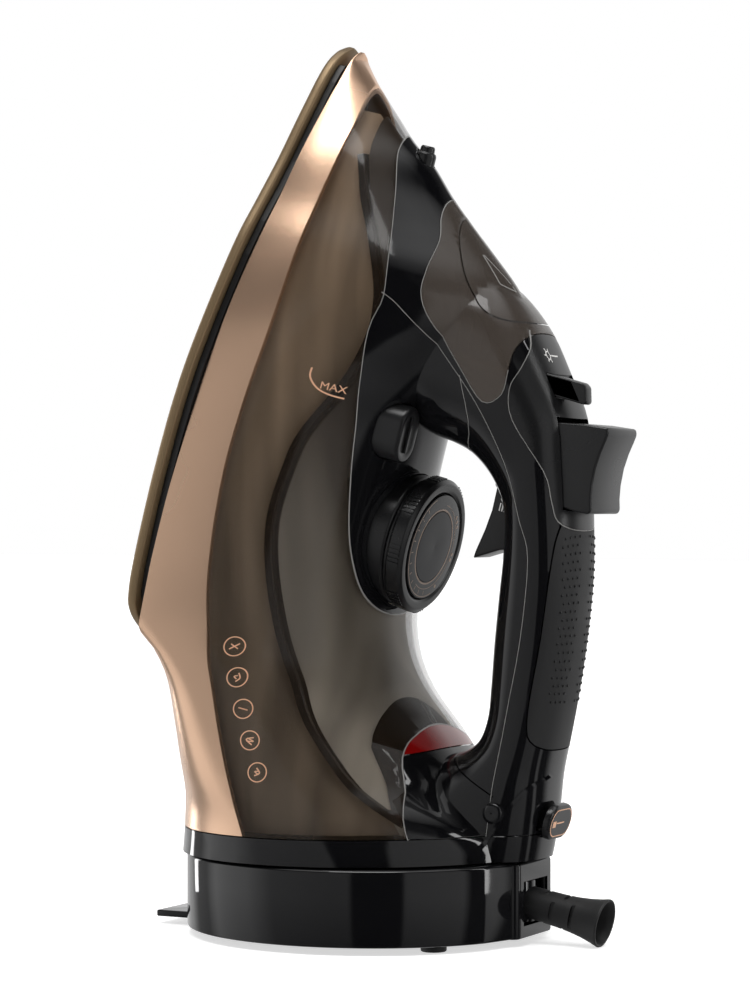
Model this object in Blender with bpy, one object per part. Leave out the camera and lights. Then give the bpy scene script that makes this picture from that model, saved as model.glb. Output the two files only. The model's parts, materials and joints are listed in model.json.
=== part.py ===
"""A steam iron standing on its power base, as separate closed solids in metres, +Z up.

The iron is drawn in its ironing position: X runs along the soleplate towards the tip, Y across it and
Z up from the soleplate to the handle. An empty, iron_frame, then stands it on its heel, leaning back.
The power base is drawn upright, in the scene's own axes.
"""

import math

import bmesh
import bpy
from mathutils import Matrix, Vector

# Overall sizes of the iron. The outlines below are drawn at the standard size and stretched to these.
IRON_LENGTH = 0.3095
IRON_WIDTH = 0.1272
IRON_HEIGHT = 0.14
DRAWN_LENGTH = 0.3095
DRAWN_WIDTH = 0.1272
DRAWN_HEIGHT = 0.14
LEAN = math.radians(15)
IRON_FOOT_X = -0.0968
IRON_FOOT_Z = -0.0031

# Walls and clearances
WALL = 0.002
SEAM = 0.0005
GAP = 0.00035
RUNNING = 0.0004

# Soleplate and what it carries
SOLE_THICKNESS = 0.0034
SOLE_EDGE = 0.001
STEAM_HOLE_RADIUS = 0.0016
CASTING_INSET = 0.013
CASTING_HEIGHT = 0.009
ELEMENT_RADIUS = 0.0031
SKIRT_BOTTOM = 0.0063
FLOOR_WALL = 0.0016

# Heel and power base
HEEL_Z = 0.0273
HEEL_RING_HEIGHT = 0.0086
HEEL_PLATE = 0.0024
BASE_FOOT_HEIGHT = 0.0024
BASE_WALL = 0.0024
BASE_FRONT_SETBACK = 0.0009
BASE_REAR_MARGIN = 0.0022
BASE_SIDE_MARGIN = 0.001
BASE_BLOCK_HALF_WIDTH = 0.014
TONGUE = [0.0125, 0.028, 0.0022]
FOOT_RADIUS = 0.0042
FOOT_PLACES = [(-0.0506, 0), (0.031, -0.0325), (0.031, 0.0325)]
BASE_SCREW_PLACES = [(-0.045, -0.024), (-0.045, 0.024), (0.022, 0)]
SCREW_SHANK_RADIUS = 0.0013
SCREW_BOSS_RADIUS = 0.0032
CONTACT_POST = [0.026, 0.018]
CONTACT_POST_RISE = 0.0072
CONTACT_FLANGE = 0.0035
SOCKET_WALL = 0.0016
GUARD_DROOP = math.radians(12)
GUARD_LENGTH = 0.0345
GUARD_NECK_RADIUS = 0.0052
GUARD_BELL_RADIUS = 0.008
GUARD_BORE_RADIUS = 0.0036
GUARD_PIVOT_SETBACK = 0.0094
GUARD_PIVOT_Z = 0.0148
GUARD_DRUM_RADIUS = 0.006
GUARD_SWING = math.radians(20)

# Dial
DIAL_U = 0.1561
DIAL_RADIUS = 0.0228
DIAL_HEIGHT = 0.0069
DIAL_HUB_RADIUS = 0.007
COLLAR_BOTTOM = 0.0575
COLLAR_HEIGHT = 0.0098
COLLAR_RADIUS = 0.022
DIAL_CAP_RADIUS = 0.0176
DIAL_CAP_DEPTH = 0.0012
THERMOSTAT_SIZE = [0.022, 0.02, 0.0064]
SHAFT_RADIUS = 0.003
SHAFT_TUBE_WALL = 0.0014

# Buttons, lever, trigger and door
CLEAN_PLACE = [0.1916, 0.022]
CLEAN_SIZE = [0.0187, 0.0127]
CLEAN_TOP = 0.0666
CLEAN_TRAVEL = 0.0025
CLEAN_DEPTH = 0.0106
THUMB_TRAVEL = 0.004
THUMB_WIDTH = 0.025
TRIGGER_WIDTH = 0.013
TRIGGER_PIN_RADIUS = 0.0013
TRIGGER_PIN_PLACE = [0.1835, 0.097]
LEVER_WIDTH = 0.005
LEVER_REST_V = 0.008
LEVER_TRAVEL = 0.016
VALVE_LIFT = 0.0025
VALVE_ROD_RADIUS = 0.0016
SPRING_WIRE = 0.0005
TUBE_RADIUS = 0.0011
NOZZLE_RADIUS = 0.0034
NOZZLE_LENGTH = 0.021
NOZZLE_TIP = [0.2836, 0.0384]
NOZZLE_BORE_RADIUS = 0.0007
LOCK_PLACE = [0.082, 0.1392]
LOCK_SIZE = [0.0116, 0.0186]
LOCK_CAP = 0.0024
LOCK_STEM = [0.006, 0.008]
LOCK_TRAVEL = 0.0045
SCREW_RADIUS = 0.0026

# Half width of the soleplate along its length, and of the body just above it
SOLE_HALF_WIDTH = [
    (0.092, 0), (0.093, 0.013), (0.0975, 0.026), (0.1047, 0.0406), (0.1091, 0.0495), (0.1145, 0.0575), (0.119, 0.0609), (0.129, 0.0629),
    (0.1426, 0.0635), (0.1543, 0.0636), (0.1676, 0.0631), (0.18, 0.0622), (0.191, 0.0607), (0.201, 0.0586), (0.211, 0.0557),
    (0.226, 0.0507), (0.2416, 0.0446), (0.2545, 0.0374), (0.268, 0.03), (0.2827, 0.0231), (0.29, 0.0195), (0.297, 0.0159),
    (0.303, 0.0117), (0.307, 0.0065), (0.3095, 0),
]
BODY_HALF_WIDTH = [
    (0.036, 0.057), (0.06, 0.058), (0.08, 0.058), (0.094, 0.0588), (0.105, 0.0598), (0.1204, 0.061), (0.1356, 0.0618), (0.1523, 0.0614),
    (0.1723, 0.0592), (0.1913, 0.0562), (0.2124, 0.0515), (0.2276, 0.0465), (0.2438, 0.0396), (0.257, 0.033), (0.2717, 0.0263),
    (0.2845, 0.0193), (0.2979, 0.0113), (0.3045, 0.0068), (0.3072, 0.004), (0.309, 0.0003),
]
# Height at which the body is widest, its lowest and its highest line, along its length
WIDEST_HEIGHT = [(0.036, 0.074), (0.056, 0.07), (0.07, 0.053), (0.084, 0.039), (0.098, 0.028), (0.105, 0.021), (0.112, 0.012), (0.118, 0.0065), (0.309, 0.0065)]
UNDERSIDE = [(0.03, 0.0185), (0.041, 0.0175), (0.06, 0.0145), (0.08, 0.0105), (0.094, 0.007), (0.104, 0.003), (0.112, -0.003), (0.309, -0.004)]
CREST = [
    (0.036, 0.134), (0.06, 0.134), (0.0724, 0.131), (0.077, 0.124), (0.082, 0.1133), (0.09, 0.104), (0.096, 0.0965), (0.1, 0.09), (0.105, 0.083),
    (0.111, 0.0775), (0.118, 0.073), (0.125, 0.0695), (0.134, 0.067), (0.15, 0.065), (0.172, 0.064), (0.19, 0.0645), (0.205, 0.07),
    (0.222, 0.08), (0.231, 0.086), (0.238, 0.0875), (0.245, 0.082), (0.2537, 0.071), (0.26, 0.0625), (0.2685, 0.0515), (0.278, 0.041),
    (0.2835, 0.0326), (0.2897, 0.0254), (0.2984, 0.0152), (0.3075, 0.005), (0.3095, 0.0015),
]
# Roundness of the body's section: the exponents of its lower and upper half, along its length
LOWER_ROUNDNESS = [(0.036, 2.1), (0.05, 2.15), (0.084, 2.3), (0.094, 2.3), (0.105, 2.6), (0.112, 4), (0.118, 9), (0.309, 9)]
UPPER_ROUNDNESS = [(0.036, 2), (0.11, 2), (0.14, 2.1), (0.19, 2.1), (0.215, 1.7), (0.25, 1.5), (0.309, 1.5)]
BODY_STATIONS = [
    0.024, 0.044, 0.056, 0.066, 0.074, 0.082, 0.09, 0.097, 0.104, 0.111, 0.118, 0.127, 0.14, 0.156, 0.172, 0.188, 0.2, 0.212, 0.224, 0.233, 0.241, 0.25,
    0.259, 0.268, 0.278, 0.288, 0.298, 0.305, 0.3086,
]
UPPER_STEPS = 7
LOWER_STEPS = 4

# The handle loop: a point on its inner side, the one opposite it on its outer side, and its half width
HANDLE_LOOP = [
    ((0.196, 0.056), (0.246, 0.05), 0.022), ((0.1925, 0.067), (0.247, 0.066), 0.0225), ((0.1915, 0.076), (0.2455, 0.079), 0.0225),
    ((0.1895, 0.084), (0.2365, 0.0925), 0.022), ((0.1845, 0.092), (0.224, 0.1035), 0.021), ((0.178, 0.0978), (0.2115, 0.113), 0.02),
    ((0.171, 0.101), (0.197, 0.1185), 0.0195), ((0.16, 0.1032), (0.181, 0.1238), 0.019), ((0.148, 0.1046), (0.161, 0.1293), 0.0185),
    ((0.133, 0.1068), (0.14, 0.1327), 0.018), ((0.119, 0.1095), (0.122, 0.1344), 0.018), ((0.1095, 0.111), (0.108, 0.1352), 0.018),
    ((0.1015, 0.11), (0.096, 0.1358), 0.0185), ((0.096, 0.1055), (0.085, 0.1375), 0.0195), ((0.092, 0.099), (0.072, 0.139), 0.0205),
    ((0.082, 0.09), (0.058, 0.1395), 0.021), ((0.066, 0.084), (0.044, 0.1395), 0.021), ((0.04, 0.08), (0.02, 0.1395), 0.021),
]
HANDLE_ROUNDNESS = 2.5
HANDLE_SIDES = 20

# Seams of the body, in its side view
SKIRT_SEAM = [
    (0.036, 0.073), (0.056, 0.0597), (0.07, 0.0514), (0.084, 0.0438), (0.099, 0.0371), (0.111, 0.0316), (0.126, 0.0275), (0.144, 0.0248),
    (0.158, 0.0234), (0.171, 0.0223), (0.185, 0.022), (0.198, 0.022), (0.211, 0.0222), (0.226, 0.0217), (0.245, 0.02), (0.26, 0.0192),
    (0.274, 0.0188), (0.287, 0.0178), (0.298, 0.0152), (0.306, 0.012),
]
TANK_SEAM = [
    (0.296, 0.027), (0.285, 0.0305), (0.275, 0.0355), (0.264, 0.0408), (0.248, 0.0476), (0.234, 0.052), (0.222, 0.0508), (0.2, 0.0524),
    (0.177, 0.0546), (0.16, 0.057), (0.148, 0.0596), (0.138, 0.063), (0.1315, 0.067), (0.129, 0.071), (0.128, 0.078),
]
SHOULDER_SEAM = [
    (0.235, 0.051), (0.232, 0.057), (0.221, 0.071), (0.208, 0.0864), (0.192, 0.1), (0.175, 0.11), (0.1636, 0.116), (0.138, 0.1198),
    (0.112, 0.1214), (0.092, 0.123), (0.078, 0.125), (0.058, 0.127), (0.03, 0.128),
]
PILLAR_SEAM = [(0.18, 0.076), (0.197, 0.0855), (0.2149, 0.0792)]
REAR_SEAM = [(0.108, 0.084), (0.0995, 0.0905), (0.0913, 0.094), (0.08, 0.1016), (0.07, 0.1083), (0.058, 0.116), (0.04, 0.127)]
LAMP_SEAM = [(0.0918, 0.093), (0.0935, 0.0968), (0.098, 0.1035)]
FOOT_SEAM = [(0.099, 0.099), (0.093, 0.106), (0.087, 0.1245)]
DOOR_SEAM = [
    (0.274, 0.058), (0.2695, 0.052), (0.263, 0.0536), (0.2549, 0.0581), (0.245, 0.06), (0.236, 0.0624), (0.2274, 0.0684), (0.217, 0.079),
    (0.2086, 0.0888), (0.2125, 0.0946), (0.2205, 0.0944), (0.2285, 0.094), (0.236, 0.097), (0.24, 0.104),
]
PANEL_SEAM = [
    (0.234, 0.0936), (0.2285, 0.097), (0.222, 0.0976), (0.2145, 0.0966), (0.2053, 0.1002), (0.1923, 0.1136), (0.183, 0.1184),
    (0.1775, 0.1214), (0.175, 0.127), (0.174, 0.134),
]
GRIP_SEAM = [(0.1769, 0.1223), (0.172, 0.1224), (0.166, 0.123), (0.14, 0.126), (0.114, 0.1282), (0.106, 0.132), (0.104, 0.142)]
FILL_SEAM = [
    (0.24, 0.104), (0.236, 0.092), (0.2356, 0.0845), (0.2375, 0.079), (0.2405, 0.0752), (0.245, 0.0708), (0.25, 0.0668), (0.257, 0.0616),
    (0.262, 0.0586), (0.2664, 0.0566), (0.273, 0.058),
]
FILL_HINGE = [0.2668, 0.0568]

POLISHED_BLACK = (0.012, 0.012, 0.014)
SATIN_BLACK = (0.03, 0.03, 0.032)
SOFT_BLACK = (0.022, 0.022, 0.024)
ROSE_GOLD = (0.74, 0.46, 0.33)
BRONZE = (0.30, 0.22, 0.13)
SMOKE = (0.16, 0.13, 0.11)
LAMP_RED = (0.55, 0.01, 0.01)
ALUMINIUM = (0.62, 0.62, 0.63)
BRASS = (0.72, 0.55, 0.25)
NYLON = (0.72, 0.70, 0.66)
BOARD_GREEN = (0.03, 0.2, 0.07)
AMBER = (0.75, 0.5, 0.2)


# ---------------------------------------------------------------- outlines
def along(table, x):
    """The table's value at x, on a smooth curve that never overshoots its points."""
    points = sorted(table)
    xs = [p[0] for p in points]
    ys = [p[1] for p in points]
    if x <= xs[0]:
        return ys[0]
    if x >= xs[-1]:
        return ys[-1]
    rises = [(ys[i + 1] - ys[i]) / (xs[i + 1] - xs[i]) for i in range(len(xs) - 1)]
    slopes = [rises[0]]
    for before, after in zip(rises, rises[1:]):
        slopes.append(0 if before * after <= 0 else 2 * before * after / (before + after))
    slopes.append(rises[-1])
    i = max(k for k in range(len(rises)) if xs[k] <= x)
    step = xs[i + 1] - xs[i]
    s = (x - xs[i]) / step
    return (
        ys[i] * (2 * s**3 - 3 * s**2 + 1)
        + step * slopes[i] * (s**3 - 2 * s**2 + s)
        + ys[i + 1] * (3 * s**2 - 2 * s**3)
        + step * slopes[i + 1] * (s**3 - s**2)
    )


def stretch(u, v, h):
    """A drawn point at the iron's real size."""
    return Vector((
        u * IRON_LENGTH / DRAWN_LENGTH,
        v * IRON_WIDTH / DRAWN_WIDTH,
        h * IRON_HEIGHT / DRAWN_HEIGHT,
    ))


def drawn_u(u):
    return u * DRAWN_LENGTH / IRON_LENGTH


def body_section(u, inset):
    """One closed ring around the body at drawn length u, from the underside up one side and down the other."""
    wide = max(along(BODY_HALF_WIDTH, u) - inset, 0.0002)
    middle = along(WIDEST_HEIGHT, u)
    bottom = along(UNDERSIDE, u) + inset
    top = max(along(CREST, u) - inset, middle + 0.0004)
    low, high = 2 / along(LOWER_ROUNDNESS, u), 2 / along(UPPER_ROUNDNESS, u)
    side = [(0, bottom)]
    for k in range(LOWER_STEPS - 1, 0, -1):
        turn = math.pi / 2 * k / LOWER_STEPS
        side.append((wide * math.cos(turn) ** low, middle - (middle - bottom) * math.sin(turn) ** low))
    for k in range(UPPER_STEPS):
        turn = math.pi / 2 * k / UPPER_STEPS
        side.append((wide * math.cos(turn) ** high, middle + (top - middle) * math.sin(turn)))
    side.append((0, top))
    ring = side + [(-v, h) for v, h in side[-2:0:-1]]
    return [stretch(u, v, h) for v, h in ring]


def body_half_width(u, h):
    """Half width of the body at a drawn point of its side view."""
    middle, top = along(WIDEST_HEIGHT, u), along(CREST, u)
    rise = min(max((h - middle) / (top - middle), 0), 1)
    return along(BODY_HALF_WIDTH, u) * (1 - rise**2) ** (1 / along(UPPER_ROUNDNESS, u))


def handle_section(inner, outer, half_width, inset):
    """One closed ring around the handle between a point of its inner side and the one opposite it."""
    middle = Vector(((inner[0] + outer[0]) / 2, 0, (inner[1] + outer[1]) / 2))
    reach = Vector(((outer[0] - inner[0]) / 2, 0, (outer[1] - inner[1]) / 2))
    reach *= 1 - inset / reach.length
    ring = []
    for k in range(HANDLE_SIDES):
        turn = 2 * math.pi * k / HANDLE_SIDES
        lift = math.copysign(abs(math.cos(turn)) ** (2 / HANDLE_ROUNDNESS), math.cos(turn))
        side = math.copysign(abs(math.sin(turn)) ** (2 / HANDLE_ROUNDNESS), math.sin(turn))
        point = middle + reach * lift
        ring.append(stretch(point.x, (half_width - inset) * side, point.z))
    return ring


def sole_outline(inset):
    """The soleplate's outline as points (u, v), set in from its edge."""
    first, last = SOLE_HALF_WIDTH[0][0] + inset, SOLE_HALF_WIDTH[-1][0] - 2 * inset
    near = []
    steps = 26
    for k in range(steps + 1):
        u = first + (last - first) * (1 - math.cos(math.pi * k / steps)) / 2
        near.append((u, max(along(SOLE_HALF_WIDTH, u) - inset, 0)))
    near[0] = (near[0][0], 0)
    near[-1] = (near[-1][0], 0)
    near = [near[0]] + [p for p in near[1:-1] if p[1] > 0.0005] + [near[-1]]
    return near + [(u, -v) for u, v in near[-2:0:-1]]


# ---------------------------------------------------------------- mesh tools
def new_object(name, points, faces):
    """A mesh object whose faces point out."""
    mesh = bpy.data.meshes.new(name)
    mesh.from_pydata([tuple(p) for p in points], [], faces)
    shape = bmesh.new()
    shape.from_mesh(mesh)
    bmesh.ops.remove_doubles(shape, verts=shape.verts, dist=1e-7)
    bmesh.ops.recalc_face_normals(shape, faces=shape.faces)
    if shape.calc_volume(signed=True) < 0:
        bmesh.ops.reverse_faces(shape, faces=shape.faces)
    shape.to_mesh(mesh)
    shape.free()
    thing = bpy.data.objects.new(name, mesh)
    bpy.context.scene.collection.objects.link(thing)
    return thing


def loft(name, rings, closed=False):
    """Rings of equal point counts joined in order, capped at both ends unless the last joins the first."""
    size = len(rings[0])
    points = [p for ring in rings for p in ring]
    faces = []
    pairs = len(rings) if closed else len(rings) - 1
    for r in range(pairs):
        here, there = r * size, (r + 1) % len(rings) * size
        for k in range(size):
            after = (k + 1) % size
            faces.append((here + k, here + after, there + after, there + k))
    if not closed:
        faces.append(tuple(range(size)))
        faces.append(tuple(range(len(points) - size, len(points))))
    return new_object(name, points, faces)


def slab(name, outline, low, high, across="Y"):
    """An outline given in the side view (u, h), or in plan (u, v) when across is Z, extruded from low to high."""
    if across == "Y":
        rings = [[stretch(u, v, h) for u, h in outline] for v in (low, high)]
    else:
        rings = [[stretch(u, v, h) for u, v in outline] for h in (low, high)]
    return loft(name, rings)


def frame_at(place, axis):
    """The matrix that carries Z onto axis, with its origin at place."""
    return Matrix.Translation(place) @ Vector(axis).to_track_quat("Z", "Y").to_matrix().to_4x4()


def turned(name, profile, place, axis=(0, 0, 1), sides=24, hollow=False):
    """A turned piece: its profile is (radius, height) pairs, in order round the section when it is hollow."""
    carry = frame_at(place, axis)
    rings = []
    for radius, height in profile:
        turns = [2 * math.pi * k / sides for k in range(sides)]
        rings.append([carry @ Vector((radius * math.cos(t), radius * math.sin(t), height)) for t in turns])
    return loft(name, rings, closed=hollow)


def rod(name, radius, place, length, axis=(0, 0, 1), sides=16):
    return turned(name, [(radius, 0), (radius, length)], place, axis, sides)


def sleeve(name, outer, inner, place, length, axis=(0, 0, 1), sides=20):
    profile = [(outer, 0), (outer, length), (inner, length), (inner, 0)]
    return turned(name, profile, place, axis, sides, hollow=True)


def oval(name, size, place, low, high, axis=(0, 0, 1), sides=24):
    """A stadium-shaped plug, longest along its own X."""
    carry = frame_at(place, axis)
    radius = min(size) / 2
    reach = (max(size) - min(size)) / 2
    long_way = Vector((1, 0, 0)) if size[0] >= size[1] else Vector((0, 1, 0))
    rings = []
    for height in (low, high):
        ring = []
        for k in range(sides):
            turn = 2 * math.pi * (k + 0.5) / sides
            around = Vector((math.cos(turn), math.sin(turn), 0))
            shift = long_way * math.copysign(reach, around.dot(long_way))
            ring.append(carry @ (around * radius + shift + Vector((0, 0, height))))
        rings.append(ring)
    return loft(name, rings)


def box(name, low, high):
    corners = [(low[0], low[1]), (high[0], low[1]), (high[0], high[1]), (low[0], high[1])]
    return loft(name, [[(x, y, z) for x, y in corners] for z in (low[2], high[2])])


def tube(name, path, radius, sides=8, steps=3):
    """A round bar along a path, on a smooth curve through its points."""
    points = smooth_path([Vector(p) for p in path], steps)
    rings = []
    across = Vector((0, 1, 0))
    for i, point in enumerate(points):
        ahead = (points[min(i + 1, len(points) - 1)] - points[max(i - 1, 0)]).normalized()
        side = (across - ahead * across.dot(ahead)).normalized()
        up = ahead.cross(side)
        turns = [2 * math.pi * k / sides for k in range(sides)]
        rings.append([point + side * radius * math.cos(t) + up * radius * math.sin(t) for t in turns])
        across = side
    return loft(name, rings)


def spring(name, place, radius, length, turns):
    """A helical spring standing on a place, along the iron's Z."""
    steps = 10
    path = []
    for k in range(turns * steps + 1):
        turn = 2 * math.pi * k / steps
        rise = SPRING_WIRE + (length - 2 * SPRING_WIRE) * k / (turns * steps)
        path.append(place + Vector((radius * math.cos(turn), radius * math.sin(turn), rise)))
    return tube(name, path, SPRING_WIRE, sides=5, steps=1)


def smooth_path(points, steps):
    """A Catmull-Rom curve through the points."""
    out = []
    for k in range(len(points) - 1):
        p0, p1 = points[max(k - 1, 0)], points[k]
        p2, p3 = points[k + 1], points[min(k + 2, len(points) - 1)]
        for j in range(steps):
            s = j / steps
            out.append((p1 * 2 + (p2 - p0) * s + (p0 * 2 - p1 * 5 + p2 * 4 - p3) * s**2
                        + (p1 * 3 - p0 - p2 * 3 + p3) * s**3) / 2)
    return out + [points[-1]]


def combine(piece, tool, operation):
    """Applies a Boolean of the tool to the piece, and removes the tool.

    The exact solver loses walls where a thin seam crosses the thin casing, so the manifold one is used.
    """
    change = piece.modifiers.new("combine", "BOOLEAN")
    change.operation = operation
    change.solver = "MANIFOLD"
    change.object = tool
    graph = bpy.context.evaluated_depsgraph_get()
    result = bpy.data.meshes.new_from_object(piece.evaluated_get(graph))
    piece.modifiers.clear()
    piece.data = result
    bpy.data.objects.remove(tool)
    return piece


def cut(piece, *tools):
    for tool in tools:
        combine(piece, tool, "DIFFERENCE")
    return piece


def join(piece, *tools):
    for tool in tools:
        combine(piece, tool, "UNION")
    return piece


def keep(piece, *tools):
    for tool in tools:
        combine(piece, tool, "INTERSECT")
    return piece


def copy_of(piece, name):
    twin = bpy.data.objects.new(name, piece.data.copy())
    bpy.context.scene.collection.objects.link(twin)
    return twin


def seam_cutter(line, width=SEAM):
    """A thin wall that stands on a side-view line and reaches right across the iron."""
    points = [Vector((u, h)) for u, h in line]
    left, right = [], []
    for i, point in enumerate(points):
        ahead = (points[min(i + 1, len(points) - 1)] - points[max(i - 1, 0)]).normalized()
        off = Vector((-ahead.y, ahead.x)) * width / 2
        left.append(point + off)
        right.append(point - off)
    outline = [(p.x, p.y) for p in left + right[::-1]]
    reach = IRON_WIDTH
    rings = [[stretch(u, v, h) for u, h in outline] for v in (-reach, reach)]
    count = len(points)
    faces = [(k, k + 1, 2 * count - 2 - k, 2 * count - 1 - k) for k in range(count - 1)]
    ends = [tuple(2 * count + i for i in face) for face in faces]
    sides = [(k, (k + 1) % (2 * count), 2 * count + (k + 1) % (2 * count), 2 * count + k) for k in range(2 * count)]
    return new_object("seam", rings[0] + rings[1], faces + ends + sides)


# ---------------------------------------------------------------- standing position
IRON_TURN = Matrix((
    (math.sin(LEAN), 0, math.cos(LEAN)),
    (0, -1, 0),
    (math.cos(LEAN), 0, -math.sin(LEAN)),
)).to_4x4()
IRON_PLACE = Matrix.Translation((IRON_FOOT_X, 0, IRON_FOOT_Z)) @ IRON_TURN


def level_box(low_z, high_z, low_x=-1, high_x=1):
    """A block between two levels of the standing position, in the iron's own axes."""
    block = box("level", (low_x, -1, low_z), (high_x, 1, high_z))
    block.data.transform(IRON_PLACE.inverted())
    return block


def drawn_at_level(h, level):
    """The drawn side-view point at drawn height h that stands at this level."""
    real_h = h * IRON_HEIGHT / DRAWN_HEIGHT
    return drawn_u((level - IRON_FOOT_Z + real_h * math.sin(LEAN)) / math.cos(LEAN)), h


def heel_x(h):
    """Where the iron's drawn height h meets the heel's level, in the scene."""
    return (IRON_PLACE @ side_point(*drawn_at_level(h, HEEL_Z))).x


def side_point(u, h, v=0):
    return stretch(u, v, h)


def empty(name, matrix):
    marker = bpy.data.objects.new(name, None)
    bpy.context.scene.collection.objects.link(marker)
    marker.matrix_world = matrix
    return marker


MATERIALS = {}


def material(name, colour, roughness, metallic=0.0, alpha=1.0):
    if name not in MATERIALS:
        made = bpy.data.materials.new(name)
        made.use_nodes = True
        shader = made.node_tree.nodes["Principled BSDF"]
        shader.inputs["Base Color"].default_value = (*colour, 1)
        shader.inputs["Roughness"].default_value = roughness
        shader.inputs["Metallic"].default_value = metallic
        shader.inputs["Alpha"].default_value = alpha
        MATERIALS[name] = made
    return MATERIALS[name]


FINISHES = {
    "polished_black": (POLISHED_BLACK, 0.12),
    "satin_black": (SATIN_BLACK, 0.4),
    "soft_black": (SOFT_BLACK, 0.7),
    "rose_gold": (ROSE_GOLD, 0.28, 0.85),
    "bronze_ceramic": (BRONZE, 0.35, 0.5),
    "smoked_clear": (SMOKE, 0.1, 0.0, 0.5),
    "lamp_red": (LAMP_RED, 0.1, 0.0, 0.8),
    "aluminium": (ALUMINIUM, 0.4, 1.0),
    "brass": (BRASS, 0.3, 1.0),
    "nylon": (NYLON, 0.5),
    "board": (BOARD_GREEN, 0.5),
    "amber_clear": (AMBER, 0.15, 0.0, 0.7),
}


def finish(piece, look, parent=None, origin=None):
    """Names the look, hangs the piece on its parent and puts its origin on its joint's axis."""
    piece.data.materials.clear()
    piece.data.materials.append(material(look, *FINISHES[look]))
    if origin is not None:
        piece.data.transform(Matrix.Translation(-Vector(origin)))
        piece.location = origin
    piece.parent = parent
    return piece


# ---------------------------------------------------------------- outer casing
def body_block(name, inset):
    """The solid lower body, from the nose to below the heel, set in by a wall."""
    first = BODY_STATIONS[0]
    rings = []
    for u in BODY_STATIONS:
        if inset and along(BODY_HALF_WIDTH, u) < 2.2 * inset:
            break
        rings.append(body_section(u if u > first or not inset else u + 0.002, inset))
    return loft(name, rings)


def handle_block(name, inset):
    return loft(name, [handle_section(a, b, w, inset) for a, b, w in HANDLE_LOOP])


def casing_shell():
    """Body and handle as one hollow wall, open where the heel is cut level and where the soleplate closes it."""
    outer = join(body_block("casing", 0), handle_block("handle", 0))
    hollow = join(body_block("hollow", WALL), handle_block("hollow_handle", WALL))
    cut(outer, hollow)
    cut(outer, level_box(-1, HEEL_Z + GAP))
    cut(outer, box("sole_room", (-1, -1, -1), (1, 1, SKIRT_BOTTOM)))
    join(outer, *trigger_lugs())
    return cut(outer, *casing_openings())


def casing_openings():
    """Cutters for everything that comes through the casing."""
    u, h = LOCK_PLACE
    stem_room = LOCK_STEM[0] / 2 + RUNNING
    stem_low = -LOCK_STEM[1] / 2 - RUNNING
    lever_room = LEVER_WIDTH / 2 + RUNNING
    thumb_room = THUMB_WIDTH / 2 + RUNNING
    trigger_room = TRIGGER_WIDTH / 2 + RUNNING
    return [
        rod("dial_hole", COLLAR_RADIUS + GAP, side_point(DIAL_U, COLLAR_BOTTOM - 0.006), 0.032, sides=32),
        oval("clean_hole", (CLEAN_SIZE[0] + 2 * RUNNING, CLEAN_SIZE[1] + 2 * RUNNING), clean_place(),
             -CLEAN_DEPTH - CLEAN_TRAVEL - GAP, 0.014),
        rod("nozzle_hole", NOZZLE_RADIUS + GAP, nozzle_start(), NOZZLE_LENGTH + 0.006, (1, 0, 0), 20),
        slab("lever_slot", grown(LEVER_FIN, RUNNING), LEVER_REST_V - LEVER_TRAVEL - lever_room,
             LEVER_REST_V + lever_room),
        slab("thumb_hole", THUMB_OPENING, -thumb_room, thumb_room),
        slab("trigger_slot", TRIGGER_OPENING, -trigger_room, trigger_room),
        slab("lock_slot", [(u - stem_room, h - 0.012), (u + stem_room, h - 0.012), (u + stem_room, h + 0.006),
                           (u - stem_room, h + 0.006)], stem_low, LOCK_TRAVEL - stem_low),
        rod("pin_hole", TRIGGER_PIN_RADIUS + GAP, side_point(*TRIGGER_PIN_PLACE, -0.0124), 0.0248,
            (0, 1, 0), 12),
    ]


def trigger_lugs():
    """The two lugs that hold the trigger's pin, standing on the inner side of the handle."""
    u, h = TRIGGER_PIN_PLACE
    low, high = 0.004, 0.0034
    outline = [(u - low, h - low), (u + low, h - low - 0.003), (u + high, h + high), (u - high, h + high)]
    inner = TRIGGER_WIDTH / 2 + RUNNING + 0.0004
    outer = inner + 0.003
    return [slab("lug", outline, inner, outer), slab("lug", outline, -outer, -inner)]


def clean_place():
    return stretch(CLEAN_PLACE[0], CLEAN_PLACE[1], CLEAN_TOP)


def nozzle_start():
    return side_point(*NOZZLE_TIP) - Vector((NOZZLE_LENGTH, 0, 0))


def grown(outline, by):
    """An outline moved out by a clearance, corner by corner."""
    area = sum(a[0] * b[1] - b[0] * a[1] for a, b in zip(outline, outline[1:] + outline[:1]))
    turn = 1 if area > 0 else -1
    out = []
    for i, point in enumerate(outline):
        before = Vector(point) - Vector(outline[i - 1])
        after = Vector(outline[(i + 1) % len(outline)]) - Vector(point)
        sides = [Vector((d.y, -d.x)).normalized() * turn for d in (before, after)]
        off = (sides[0] + sides[1]) / max(1 + sides[0].dot(sides[1]), 0.3)
        out.append(tuple(Vector(point) + off * by))
    return out


LEVER_FIN = [(0.2156, 0.098), (0.2218, 0.098), (0.2218, 0.1122), (0.2159, 0.117)]
LEVER_FOOT = [(0.2132, 0.0958), (0.2232, 0.0958), (0.2232, 0.0982), (0.2132, 0.0982)]
THUMB_SIDE = [
    (0.1819, 0.1085), (0.2073, 0.1085), (0.2096, 0.121), (0.2103, 0.1289), (0.203, 0.13), (0.193, 0.1304), (0.183, 0.1301),
    (0.1819, 0.126),
]
THUMB_OPENING = [(0.1814, 0.1045), (0.2092, 0.1045), (0.2112, 0.134), (0.1814, 0.134)]
TRIGGER_SIDE = [
    (0.1864, 0.0984), (0.1842, 0.1002), (0.172, 0.106), (0.164, 0.106), (0.1623, 0.1005), (0.1572, 0.0919), (0.1672, 0.0936),
    (0.1741, 0.0944), (0.1835, 0.0942), (0.1862, 0.0952),
]
TRIGGER_OPENING = [(0.1609, 0.09), (0.1884, 0.086), (0.1884, 0.103), (0.1609, 0.109)]


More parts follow.
